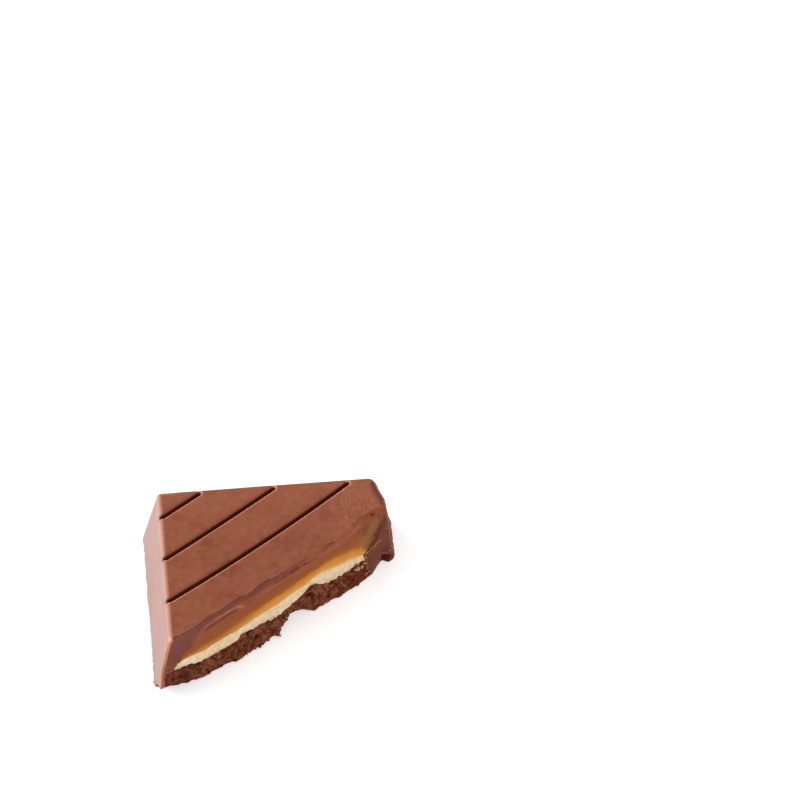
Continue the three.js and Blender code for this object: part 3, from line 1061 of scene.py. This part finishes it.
def make_places():
    """The surface's place in millimetres: x and y from the top's corner, height, depth, and along"""
    nodes, _, result = new_group("places", {}, ["X", "Y", "Height", "Depth", "Along"])
    place = nodes.add("ShaderNodeTexCoord").outputs["Object"]
    sized = nodes.vectors("SCALE", {0: place, 3: 1 / MM}).outputs[0]
    moved = nodes.vectors("ADD", {0: sized, 1: tuple(-TO_FRAME)}).outputs[0]
    x, y, height = nodes.add("ShaderNodeSeparateXYZ", {0: moved}).outputs
    along = nodes.vectors("DOT_PRODUCT", {0: moved, 1: (ALONG_X, ALONG_Y, 0)}).outputs["Value"]
    along = nodes.minus(along, BREAK_START_Y * ALONG_Y)
    depth = nodes.minus(HEIGHT, height)
    nodes.fill(result, {"X": x, "Y": y, "Height": height, "Depth": depth, "Along": along})
    return nodes.tree


def place_in_sizes(nodes, size):
    """The surface's own place, counted in the given size in millimetres"""
    place = nodes.add("ShaderNodeTexCoord").outputs["Object"]
    return nodes.vectors("SCALE", {0: place, 3: nodes.over(1 / MM, size)}).outputs[0]


def make_patches():
    """Soft patches of a size in millimetres"""
    inputs = {"Size": 3.0, "Detail": 3.0, "Low": 0.4, "High": 0.6}
    nodes, given, result = new_group("patches", inputs, ["Mask"])
    place = place_in_sizes(nodes, given["Size"])
    values = {"Vector": place, "Scale": 1.0, "Detail": given["Detail"]}
    noise = nodes.add("ShaderNodeTexNoise", values).outputs[0]
    nodes.fill(result, {"Mask": nodes.turn(noise, given["Low"], given["High"])})
    return nodes.tree


def make_streaks():
    """Streaks along one way, with their length and their width across it in millimetres"""
    inputs = {"Along": 0.0, "Across": 0.0, "Length": 4.0, "Width": 0.4, "Low": 0.4, "High": 0.6}
    nodes, given, result = new_group("streaks", inputs, ["Mask"])
    lengthwise = nodes.over(given["Along"], given["Length"])
    across = nodes.over(given["Across"], given["Width"])
    place = nodes.add("ShaderNodeCombineXYZ", {0: lengthwise, 1: across}).outputs[0]
    noise = nodes.add("ShaderNodeTexNoise", {"Vector": place, "Scale": 1.0, "Detail": 3.0}).outputs[0]
    nodes.fill(result, {"Mask": nodes.turn(noise, given["Low"], given["High"])})
    return nodes.tree


def make_specks():
    """Round specks: their spacing in millimetres, their size in spacings, and the share shown"""
    inputs = {"Spacing": 0.5, "Size": 0.3, "Share": 0.5}
    nodes, given, result = new_group("specks", inputs, ["Mask"])
    place = place_in_sizes(nodes, given["Spacing"])
    cells = nodes.add("ShaderNodeTexVoronoi", {"Vector": place, "Scale": 1.0}).outputs
    number = nodes.add("ShaderNodeSeparateColor", {0: cells["Color"]}).outputs[0]
    shown = nodes.count("LESS_THAN", number, given["Share"])
    core = nodes.times(given["Size"], SPECK_CORE)
    disc = nodes.fall(cells["Distance"], core, given["Size"])
    nodes.fill(result, {"Mask": nodes.times(disc, shown)})
    return nodes.tree


def make_groove():
    """A groove in the top face: its inside for painted shade, and the thin painted highlight line
    along its near lip and its far end
    """
    inputs = {"X": 0.0, "Y": 0.0, "Line": 0.0, "Start": 0.0, "End": 1.0, "Bow": 0.0}
    nodes, given, result = new_group("groove", inputs, ["Inside", "Lip"])
    run = nodes.minus(given["End"], given["Start"])
    from_start = nodes.minus(given["X"], given["Start"])
    part = nodes.count("MINIMUM", nodes.most(nodes.over(from_start, run), 0.0), 1.0)
    sag = nodes.times(part, nodes.minus(1.0, part), 4.0, given["Bow"])
    level = nodes.minus(given["Y"], given["Line"])
    across = nodes.minus(nodes.plus(level, sag), nodes.times(given["X"], GROOVE_SLOPE))
    across = nodes.times(across, math.cos(GROOVE_TURN))
    upward = nodes.minus(level, nodes.times(given["Start"], GROOVE_SLOPE))
    upward = nodes.times(upward, math.sin(GROOVE_TURN))
    onward = nodes.plus(nodes.times(from_start, math.cos(GROOVE_TURN)), upward)
    past_end = nodes.minus(onward, nodes.over(run, math.cos(GROOVE_TURN)))
    beyond = nodes.most(nodes.times(onward, -1.0), past_end, 0.0)
    square = nodes.plus(nodes.times(across, across), nodes.times(beyond, beyond))
    side = nodes.minus(nodes.count("POWER", square, 0.5), GROOVE_WIDTH / 2)
    near = nodes.most(nodes.fall(across, *NEAR_LIP), nodes.turn(past_end, *END_LIP))
    line = nodes.fall(nodes.size(nodes.minus(side, LIP_LINE_PLACE)), *LIP_LINE)
    nodes.fill(result, {"Inside": nodes.fall(side, *GROOVE_SHADE), "Lip": nodes.times(line, near)})
    return nodes.tree


SPECK_CORE = 0.6
# How far from a groove's side its painted highlight line lies, and the turns of its masks, in
# millimetres
LIP_LINE_PLACE = 0.1
LIP_LINE = (0.02, 0.17)
NEAR_LIP = (-0.1, 0.0)
END_LIP = (0.0, 0.1)
GROOVE_SHADE = (0.0, 0.5)

PLACES = make_places()
PATCHES = make_patches()
STREAKS = make_streaks()
SPECKS = make_specks()
GROOVE = make_groove()


def new_material(name, roughness, specular):
    material = bpy.data.materials.new(name)
    material.use_nodes = True
    nodes = Nodes(material.node_tree)
    shader = material.node_tree.nodes["Principled BSDF"]
    nodes.fill(shader, {"Roughness": roughness, "Specular IOR Level": specular})
    return material, nodes, shader


def light_through(weight, radius, scale):
    """Lets light through under the surface"""
    return {
        "Subsurface Weight": weight,
        "Subsurface Radius": radius,
        "Subsurface Scale": scale * MM,
    }


# In what follows, patches are given as their size, detail, low and high, streaks as their length,
# width, low and high, specks as their spacing, size and share, a turn as its low and high, with
# its start and end where they aren't 0 and 1, and a coat as its share and colour. A surface is
# given as its roughness and specular level, and a glow as its weight, its radius for red, green
# and blue, and its scale in millimetres.

# Moulded chocolate
CLOUDS = (5.0, 4.0, 0.28, 0.58)
CLOUD_TONES = (on_top(140, 80, 55), on_top(151, 90, 69))
MOTTLES = (0.9, 4.0, 0.4, 0.66)
MOTTLE_COAT = (0.55, on_top(162, 101, 79))
DARK_PATCHES = (1.6, 4.0, 0.5, 0.68)
DARK_COAT = (0.35, on_top(128, 70, 50))
PORES = (0.7, 0.2, 0.25)
PORE_COAT = (0.4, on_top(106, 54, 40))
BLOOM = (0.33, 0.38, 0.3)
BLOOM_PATCHES = (5.0, 2.0, 0.45, 0.65)
BLOOM_COAT = (0.25, on_top(188, 140, 120))
ON_TOP_FACE = (9.4, 10.1)
# Painted light: the top face is paler towards the back and the left
PAINTED_LIGHT_BACK = (17.0, 27.0, 0.0, 0.27)
PAINTED_LIGHT_LEFT = (1.0, 7.0, 0.18, 0.0)
PAINTED_LIGHT_COAT = (1, on_top(178, 110, 83))
SCUFFS = (0.8, 0.24, 0.46, 0.64)
SCUFFED_RIGHT = (20.0, 25.0, 0.0, 0.32)
SCUFF_COAT = (1, on_top(190, 130, 110))


def moulded_colour(nodes, places):
    """Clouds and mottles with pores and a faint bloom, painted light that pales the top at the back
    and left, and scuffs at the right
    """
    x, y = places["X"], places["Y"]
    on_face = nodes.turn(places["Height"], *ON_TOP_FACE)
    bloom = nodes.times(nodes.specks(*BLOOM), nodes.patches(*BLOOM_PATCHES))
    painted_light_share = nodes.most(nodes.turn(y, *PAINTED_LIGHT_BACK), nodes.turn(x, *PAINTED_LIGHT_LEFT))
    scuffs = nodes.times(nodes.streaks(y, x, *SCUFFS), nodes.turn(x, *SCUFFED_RIGHT), on_face)
    return nodes.paint(
        nodes.blend(nodes.patches(*CLOUDS), *CLOUD_TONES),
        (nodes.patches(*MOTTLES), *MOTTLE_COAT),
        (nodes.patches(*DARK_PATCHES), *DARK_COAT),
        (nodes.specks(*PORES), *PORE_COAT),
        (bloom, *BLOOM_COAT),
        # painted light, paler at the back and the left
        (nodes.times(painted_light_share, on_face), *PAINTED_LIGHT_COAT),
        (scuffs, *SCUFF_COAT),
    )


# Top edges: where they lie below the wall, across the top and in depth
LEFT_EDGE = ((0.1, 0.6), (1.5, 3.0), (0.3, 0.9))
# Painted highlight along the left top edge
PAINTED_LEFT_EDGE_HIGHLIGHT = (0.6, on_top(206, 156, 134))
RIGHT_EDGE = ((0.2, 1.3), (20.0, 24.0), (1.2, 2.2))
RIGHT_EDGE_SIDE = (-0.5, 0.5)
# Painted shade along the right top edge's worn rounding
PAINTED_RIGHT_EDGE_SHADE = (0.85, on_top(120, 77, 71))
WORN_FROM_WALL = (0.2, 0.45)


def edges_with_light_and_shade(nodes, places, colour):
    """Painted highlight on the left top edge, and painted shade on the right one where it is worn
    round
    """
    x, depth = places["X"], places["Depth"]
    below_wall = nodes.note("below_wall")
    wall_turn, x_turn, depth_turn = LEFT_EDGE
    left = nodes.times(
        nodes.fall(below_wall, *wall_turn),
        nodes.fall(x, *x_turn),
        nodes.fall(depth, *depth_turn),
    )
    wall_turn, x_turn, depth_turn = RIGHT_EDGE
    right = nodes.times(
        nodes.turn(nodes.minus(x, places["Y"]), *RIGHT_EDGE_SIDE),
        nodes.turn(x, *x_turn),
        nodes.fall(below_wall, *wall_turn),
        nodes.fall(depth, *depth_turn),
    )
    colour = nodes.paint(colour, (left, *PAINTED_LEFT_EDGE_HIGHLIGHT), (right, *PAINTED_RIGHT_EDGE_SHADE))
    return colour, nodes.times(right, nodes.turn(below_wall, *WORN_FROM_WALL))


# Grooves
GROOVE_INSIDE_DEPTH = (0.0, 0.4)
LIP_DEPTH = (0.05, 0.3)
# Painted highlight on the grooves' lips, and painted shade inside them
PAINTED_LIP_HIGHLIGHT = (0.85, on_top(222, 160, 126))
PAINTED_GROOVE_SHADE = (1, on_top(120, 69, 60))


def groove_masks(nodes, places):
    """Painted shade inside all grooves, and a thin painted highlight line on their lips"""
    grooves = []
    for index, bow in enumerate(GROOVE_BOWS):
        line, start, end = groove_line(index)
        values = {"X": places["X"], "Y": places["Y"], "Line": line, "Start": start, "End": end}
        grooves.append(nodes.use(GROOVE, {**values, "Bow": bow}))
    inside = nodes.most(*[groove["Inside"] for groove in grooves])
    lip = nodes.most(*[groove["Lip"] for groove in grooves])
    inside = nodes.times(inside, nodes.turn(places["Depth"], *GROOVE_INSIDE_DEPTH))
    return inside, nodes.times(lip, nodes.fall(places["Depth"], *LIP_DEPTH))


# Snapped chocolate above the caramel
SNAP_STREAKS = (4.0, 0.6, 0.3, 0.7)
SNAP_TONES = (on_cut(129, 70, 47), on_cut(141, 80, 55))
BY_CEILING = (0.0, 1.6)
CEILING_COAT = (1, on_cut(138, 77, 46))
PURPLE_BORDER = (1.2, 3.0, 0.2, 0.8)
PURPLE_WANDER = 1.6
PURPLE_TURN = (-0.6, 1.4)
PURPLE_COAT = (1, on_cut(112, 66, 58))
LOW_LEFT_ALONG = (1.4, 3.2)
LOW_LEFT_HEIGHT = (4.8, 6.6)
LOW_LEFT_COAT = (1, on_cut(120, 70, 56))
RED_BITS = (0.45, 3.0, 0.5, 0.66)
RED_COAT = (1, on_cut(160, 92, 80))
RIGHT_ALONG = (30.6, 32.4)
RIGHT_HEIGHT = (7.8, 9.4)
RIGHT_COAT = (1, on_cut(108, 62, 49))
# Painted shade in the furrows and pits
PAINTED_SUNKEN_SHADE = (0.9, on_cut(102, 55, 46))
# A pale smear on the raised ridges, partly painted highlight
BROKEN_SMEAR_AND_HIGHLIGHT = (0.5, 4.0, 0.3, 0.62)
SMEAR_AND_HIGHLIGHT_COAT = (0.8, on_cut(172, 116, 98))


def snapped_colour(nodes, places):
    """Chocolate where it snapped, from the caramel's ceiling up to the top edge"""
    along, height = places["Along"], places["Height"]
    past_purple = nodes.wander(nodes.note("past_purple"), nodes.patches(*PURPLE_BORDER), PURPLE_WANDER)
    low_left = nodes.times(nodes.fall(along, *LOW_LEFT_ALONG), nodes.fall(height, *LOW_LEFT_HEIGHT))
    right = nodes.times(nodes.turn(along, *RIGHT_ALONG), nodes.fall(height, *RIGHT_HEIGHT))
    smear_and_highlight = nodes.times(nodes.note("raised"), nodes.patches(*BROKEN_SMEAR_AND_HIGHLIGHT))
    return nodes.paint(
        nodes.blend(nodes.streaks(along, height, *SNAP_STREAKS), *SNAP_TONES),
        (nodes.fall(nodes.note("above_ceiling"), *BY_CEILING), *CEILING_COAT),
        (nodes.fall(past_purple, *PURPLE_TURN), *PURPLE_COAT),
        (low_left, *LOW_LEFT_COAT),
        (nodes.times(nodes.patches(*RED_BITS), low_left), *RED_COAT),
        (right, *RIGHT_COAT),
        (nodes.note("sunken"), *PAINTED_SUNKEN_SHADE),
        (smear_and_highlight, *SMEAR_AND_HIGHLIGHT_COAT),
    )


# The hollow at the caramel's right end, shared by the chocolate and the caramel, with painted shade in
# it
HOLLOW_MASK = (0.15, 0.95)
HOLLOW_SIDE = (0.2, 1.3)
HOLLOW_SHADE_OLIVE = (137, 90, 55)
HOLLOW_DARK_SHADE = (103, 62, 54)


def painted_hollow_shade(nodes, seen_here):
    """Painted shade in the hollow: olive, turning darker brown towards its lower right side"""
    side = nodes.turn(nodes.note("hollow_side"), *HOLLOW_SIDE)
    colour = nodes.blend(side, seen_here(*HOLLOW_SHADE_OLIVE), seen_here(*HOLLOW_DARK_SHADE))
    return nodes.turn(nodes.note("in_hollow"), *HOLLOW_MASK), 1, colour


# Milk chocolate as a whole
MOULDED_ROUGHNESS = 0.36
SNAPPED_ROUGHNESS = 0.52
DULLEST = 0.95
CHOCOLATE_SURFACE = (MOULDED_ROUGHNESS, 0.2)
SHEEN = (0.0, 0.6, 0.66, 0.0)
SHEEN_ROUGHNESS = 0.38
SNAP_BORDER = (0.08, 0.2)
FLAKE_PATCHES = (0.4, 4.0, 0.25, 0.75)
FLAKE_TONES = (on_cut(118, 72, 60), on_cut(144, 96, 84))
# Painted highlight along the snapped face's left edge
LEFT_RIM_WIDTH = (0.15, 0.5)
LEFT_RIM_ALONG = (1.5, 3.0)
LEFT_RIM_HEIGHT = (3.0, 9.5)
LEFT_RIM_HIGHLIGHT_TONES = (on_cut(168, 104, 82), on_cut(198, 128, 90))
# Painted shade where the snapped face lies deep behind its plane
PAINTED_DEEP_SHADE = (1, on_cut(92, 44, 37))
CREST_BEHIND = 0.12
CREST_WIDTH = (0.02, 0.12)
CREST_DEPTH = (0.12, 0.35)
CREST_PATCHES = (2.5, 2.0, 0.42, 0.56)
CREST_COAT = (0.5, on_top(196, 130, 102))
# Painted highlight at the corner where the snap meets the top and the left wall
PAINTED_CORNER_HIGHLIGHT = (0.7, on_cut(232, 170, 122))
CHOCOLATE_GRAIN = (0.25, 4.0, 0.2, 0.8)
SMOOTH_GRAIN_SHARE = 0.25
CHOCOLATE_RELIEF = 0.02


def milk_chocolate():
    material, nodes, shader = new_material("milk_chocolate", *CHOCOLATE_SURFACE)
    places = nodes.use(PLACES)
    behind = nodes.note("behind_face")
    snapped = nodes.fall(behind, *SNAP_BORDER)
    unsnapped = nodes.minus(1.0, snapped)
    flaked = nodes.times(nodes.note("flaked"), unsnapped)
    rough = nodes.most(snapped, flaked)

    moulded, worn = edges_with_light_and_shade(nodes, places, moulded_colour(nodes, places))
    worn = nodes.times(worn, unsnapped)
    in_groove, lip_highlight = groove_masks(nodes, places)
    rim = nodes.fall(nodes.note("below_wall"), *LEFT_RIM_WIDTH)
    rim = nodes.times(rim, nodes.fall(places["Along"], *LEFT_RIM_ALONG))
    cut = nodes.paint(
        snapped_colour(nodes, places),
        # painted highlight along the left edge
        (rim, 1, nodes.blend(nodes.turn(places["Height"], *LEFT_RIM_HEIGHT), *LEFT_RIM_HIGHLIGHT_TONES)),
        (nodes.note("deep"), *PAINTED_DEEP_SHADE),
        painted_hollow_shade(nodes, on_cut),
    )
    crest = nodes.times(
        nodes.fall(nodes.size(nodes.minus(behind, CREST_BEHIND)), *CREST_WIDTH),
        nodes.fall(places["Depth"], *CREST_DEPTH),
        nodes.patches(*CREST_PATCHES),
    )
    colour = nodes.paint(
        moulded,
        # painted highlight on the groove lips, then painted shade inside the grooves
        (lip_highlight, *PAINTED_LIP_HIGHLIGHT),
        (in_groove, *PAINTED_GROOVE_SHADE),
        (flaked, 1, nodes.blend(nodes.patches(*FLAKE_PATCHES), *FLAKE_TONES)),
        (snapped, 1, cut),
        (crest, *CREST_COAT),
        # painted highlight at the top left corner and on the chips
        (nodes.note("corner_highlight"), *PAINTED_CORNER_HIGHLIGHT),
    )
    roughness = nodes.turn(rough, 0.0, 1.0, MOULDED_ROUGHNESS, SNAPPED_ROUGHNESS)
    dull = nodes.times(nodes.most(in_groove, worn, flaked), DULLEST)
    grain = nodes.turn(rough, 0.0, 1.0, SMOOTH_GRAIN_SHARE, 1.0)
    grain = nodes.times(nodes.patches(*CHOCOLATE_GRAIN), grain)
    nodes.fill(shader, {
        "Base Color": colour,
        "Roughness": nodes.most(roughness, dull),
        "Coat Weight": nodes.turn(nodes.most(in_groove, worn, rough), *SHEEN),
        "Coat Roughness": SHEEN_ROUGHNESS,
        "Normal": nodes.relief(grain, CHOCOLATE_RELIEF),
    })
    return material


# Caramel, from the cheese up to the chocolate's ceiling, with the glow's end half way
CARAMEL_RAMP = [
    (0.0, (212, 168, 104)), (0.05, (203, 150, 78)), (0.14, (195, 136, 64)), (0.3, (193, 129, 58)),
    (0.41, (182, 115, 51)), (0.49, (167, 99, 43)), (0.57, (153, 86, 39)), (0.7, (144, 80, 40)),
    (0.84, (141, 79, 44)), (1.0, (140, 79, 49)),
]
CARAMEL_FLOW = (3.0, 0.8, 0.2, 0.8)
CARAMEL_WANDER = 0.17
DIM_LEFT = (9.0, 16.0, 0.42, 0.0)
DIM_LEFT_COAT = (1, on_caramel(140, 82, 50))
LEFT_END_COAT = (1, on_caramel(124, 74, 58))
RIGHT_END_COAT = (1, on_caramel(120, 70, 46))
GLINTS = (0.5, 0.25, 0.18)
GLINT_RISE = (0.3, 0.5)
GLINT_COAT = (0.5, on_caramel(232, 184, 126))
CARAMEL_RIPPLES = (1.6, 0.5, 0.2, 0.8)
CARAMEL_RELIEF = 0.012
CARAMEL_SURFACE = (0.4, 0.12)
CARAMEL_GLOW = (0.15, (1.0, 0.45, 0.12), 0.6)


def golden_caramel():
    material, nodes, shader = new_material("caramel", *CARAMEL_SURFACE)
    places = nodes.use(PLACES)
    along, height = places["Along"], places["Height"]
    rise = nodes.note("rise")
    flow = nodes.streaks(along, height, *CARAMEL_FLOW)
    ramp = nodes.add("ShaderNodeValToRGB", {0: nodes.wander(rise, flow, CARAMEL_WANDER)})
    stops = ramp.color_ramp.elements
    while len(stops) < len(CARAMEL_RAMP):
        stops.new(0.5)
    for stop, (place, seen) in zip(stops, CARAMEL_RAMP):
        stop.position = place
        stop.color = on_caramel(*seen)
    glints = nodes.times(nodes.specks(*GLINTS), nodes.fall(rise, *GLINT_RISE))
    colour = nodes.paint(
        ramp.outputs[0],
        (nodes.turn(along, *DIM_LEFT), *DIM_LEFT_COAT),
        (nodes.note("left_end"), *LEFT_END_COAT),
        (nodes.note("right_end"), *RIGHT_END_COAT),
        painted_hollow_shade(nodes, on_caramel),
        (glints, *GLINT_COAT),
    )
    ripples = nodes.streaks(along, height, *CARAMEL_RIPPLES)
    nodes.fill(shader, {
        "Base Color": colour,
        "Normal": nodes.relief(ripples, CARAMEL_RELIEF),
        **light_through(*CARAMEL_GLOW),
    })
    return material


# Cream cheese
CURDS = (0.7, 4.0, 0.32, 0.68)
CURD_TONES = (on_cut(210, 181, 143), on_cut(225, 204, 173))
PALE_TIP = (2.2, 4.6, 0.5, 0.0)
PALE_TIP_COAT = (1, on_cut(224, 214, 200))
YELLOW_STREAKS = (1.6, 0.6, 0.5, 0.72)
YELLOW_COAT = (0.4, on_cut(214, 188, 132))
SOAKED = (0.0, 0.35, 0.8, 0.0)
SOAKED_COAT = (1, on_cut(218, 178, 118))
BROWN_SPECKS = (1.1, 0.12, 0.16)
BROWN_SPECK_COAT = (0.5, on_cut(140, 96, 64))
SMEARED_COAT = (0.65, on_cut(176, 124, 104))
CHEESE_GRAIN = (0.25, 4.0, 0.2, 0.8)
CHEESE_RELIEF = 0.035
CHEESE_SURFACE = (0.6, 0.3)
CHEESE_GLOW = (0.25, (1.0, 0.7, 0.4), 0.5)


def cheese_cream():
    material, nodes, shader = new_material("cheese_cream", *CHEESE_SURFACE)
    places = nodes.use(PLACES)
    along, height = places["Along"], places["Height"]
    colour = nodes.paint(
        nodes.blend(nodes.patches(*CURDS), *CURD_TONES),
        (nodes.turn(along, *PALE_TIP), *PALE_TIP_COAT),
        (nodes.streaks(along, height, *YELLOW_STREAKS), *YELLOW_COAT),
        (nodes.turn(nodes.note("below_caramel"), *SOAKED), *SOAKED_COAT),
        (nodes.specks(*BROWN_SPECKS), *BROWN_SPECK_COAT),
        (nodes.note("smeared"), *SMEARED_COAT),
    )
    nodes.fill(shader, {
        "Base Color": colour,
        "Normal": nodes.relief(nodes.patches(*CHEESE_GRAIN), CHEESE_RELIEF),
        **light_through(*CHEESE_GLOW),
    })
    return material


# Cocoa cookie crumb
GRAIN_TONE_TURN = (-0.9, 0.9)
GRAIN_TONES = (on_cut(114, 64, 48), on_cut(157, 103, 83))
FINE_CRUMB = (0.2, 4.0, 0.38, 0.66)
FINE_CRUMB_COAT = (0.38, on_cut(82, 42, 30))
REDDISH_CRUMB = (0.7, 3.0, 0.52, 0.7)
REDDISH_COAT = (0.5, on_cut(128, 70, 54))
PALE_BITS = (0.34, 0.36, 0.2)
PALE_BIT_COAT = (0.75, on_cut(176, 130, 106))
# Painted shade in the crevices between grains
PAINTED_CREVICE_SHADE = (0.65, on_cut(60, 26, 16))
# Painted shade on the toe at the left, which faces up into more light
TOE_SHADE_TURN = (2.0, 6.5, 0.35, 0.0)
PAINTED_TOE_SHADE = (1, on_cut(82, 41, 28))
# Painted shade in the crumb's pits
PAINTED_PIT_SHADE = (1, on_cut(44, 18, 10))
CRUMB_BORDER = (0.6, 3.0, 0.2, 0.8)
CRUMB_WANDER = 1.4
PAST_CRUMB = (0.0, 0.6)
PAST_CRUMB_COAT = (0.8, on_cut(112, 66, 52))
CRUMB_GRIT = (0.16, 4.0, 0.3, 0.7)
CRUMB_RELIEF = 0.07
CRUMB_SURFACE = (0.9, 0.08)


def cocoa_crumb():
    material, nodes, shader = new_material("cocoa_crumb", *CRUMB_SURFACE)
    along = nodes.use(PLACES)["Along"]
    past_end = nodes.wander(nodes.note("past_end"), nodes.patches(*CRUMB_BORDER), CRUMB_WANDER)
    colour = nodes.paint(
        nodes.blend(nodes.turn(nodes.note("grain_tone"), *GRAIN_TONE_TURN), *GRAIN_TONES),
        (nodes.patches(*FINE_CRUMB), *FINE_CRUMB_COAT),
        (nodes.patches(*REDDISH_CRUMB), *REDDISH_COAT),
        (nodes.specks(*PALE_BITS), *PALE_BIT_COAT),
        (nodes.note("crevice"), *PAINTED_CREVICE_SHADE),
        (nodes.turn(along, *TOE_SHADE_TURN), *PAINTED_TOE_SHADE),
        (nodes.note("pit"), *PAINTED_PIT_SHADE),
        (nodes.turn(past_end, *PAST_CRUMB), *PAST_CRUMB_COAT),
    )
    relief = nodes.relief(nodes.patches(*CRUMB_GRIT), CRUMB_RELIEF)
    nodes.fill(shader, {"Base Color": colour, "Normal": relief})
    return material


for material, pieces in (
    (milk_chocolate(), (shell, chocolate_chips)),
    (golden_caramel(), (caramel,)),
    (cheese_cream(), (cream, cheese_crumbs)),
    (cocoa_crumb(), (crumb, cookie_crumbs)),
):
    for piece in pieces:
        piece.data.materials.append(material)

# Floor, light and camera. Lights and the floor are in metres, and lights aim at the candy.

CAMERA_AZIMUTH = math.radians(-5.6897)
CAMERA_ELEVATION = math.radians(46.0517)
CAMERA_DISTANCE = 570.0
CAMERA_AIM = (34.07, 52.34, 0.0)
CAMERA_LENS = 188.18
CAMERA_NEAR = 0.01
CAMERA_FAR = 10
FLOOR_HALF = 1.5
FLOOR_SURFACE = (0.9, 0.5)
FLOOR_TONE = (0.9, 0.9, 0.9, 1)
FLOOR_GLOW = 0.42
KEY_LIGHT = {"place": (-0.62, 0.12, 0.4), "size": 0.8, "power": 5.6}
FILL_LIGHT = {"place": (0.45, -0.5, 0.35), "size": 0.5, "power": 1.4}
STUDIO_WHITE = (1, 1, 1, 1)
STUDIO_LIGHT = 0.6


def frame_point(place):
    return Vector((np.array(place) + TO_FRAME) * MM)


def add_camera():
    flat = math.cos(CAMERA_ELEVATION)
    sideways, forwards = math.sin(CAMERA_AZIMUTH), math.cos(CAMERA_AZIMUTH)
    back = Vector((sideways * flat, -forwards * flat, math.sin(CAMERA_ELEVATION)))
    right = Vector((forwards, sideways, 0))
    up = back.cross(right)
    camera = bpy.data.objects.new("camera", bpy.data.cameras.new("camera"))
    camera.data.lens = CAMERA_LENS
    camera.data.clip_start = CAMERA_NEAR
    camera.data.clip_end = CAMERA_FAR
    axes = Matrix((right, up, back)).transposed().to_4x4()
    place = frame_point(CAMERA_AIM) + back * CAMERA_DISTANCE * MM
    camera.matrix_world = Matrix.Translation(place) @ axes
    bpy.context.scene.collection.objects.link(camera)
    bpy.context.scene.camera = camera


def floor_white():
    """A white table lit from within, which keeps the shadows on it faint"""
    material, nodes, shader = new_material("floor", *FLOOR_SURFACE)
    nodes.fill(shader, {
        "Base Color": FLOOR_TONE,
        "Emission Color": STUDIO_WHITE,
        "Emission Strength": FLOOR_GLOW,
    })
    return material


def add_floor():
    mesh = bpy.data.meshes.new("floor")
    half = FLOOR_HALF
    corners = [(-half, -half, 0), (half, -half, 0), (half, half, 0), (-half, half, 0)]
    mesh.from_pydata(corners, [], [(0, 1, 2, 3)])
    floor = bpy.data.objects.new("floor", mesh)
    bpy.context.scene.collection.objects.link(floor)
    floor.data.materials.append(floor_white())


def add_light(name, place, size, power):
    light = bpy.data.lights.new(name, "AREA")
    light.size = size
    light.energy = power
    lamp = bpy.data.objects.new(name, light)
    lamp.location = place
    lamp.rotation_euler = Vector(place).to_track_quat("Z", "Y").to_euler()
    bpy.context.scene.collection.objects.link(lamp)


def light_studio():
    world = bpy.data.worlds.new("studio")
    world.use_nodes = True
    background = world.node_tree.nodes["Background"]
    background.inputs["Color"].default_value = STUDIO_WHITE
    background.inputs["Strength"].default_value = STUDIO_LIGHT
    bpy.context.scene.world = world
    bpy.context.scene.view_settings.view_transform = "Standard"


add_camera()
add_floor()
add_light("key_light", **KEY_LIGHT)
add_light("fill_light", **FILL_LIGHT)
light_studio()
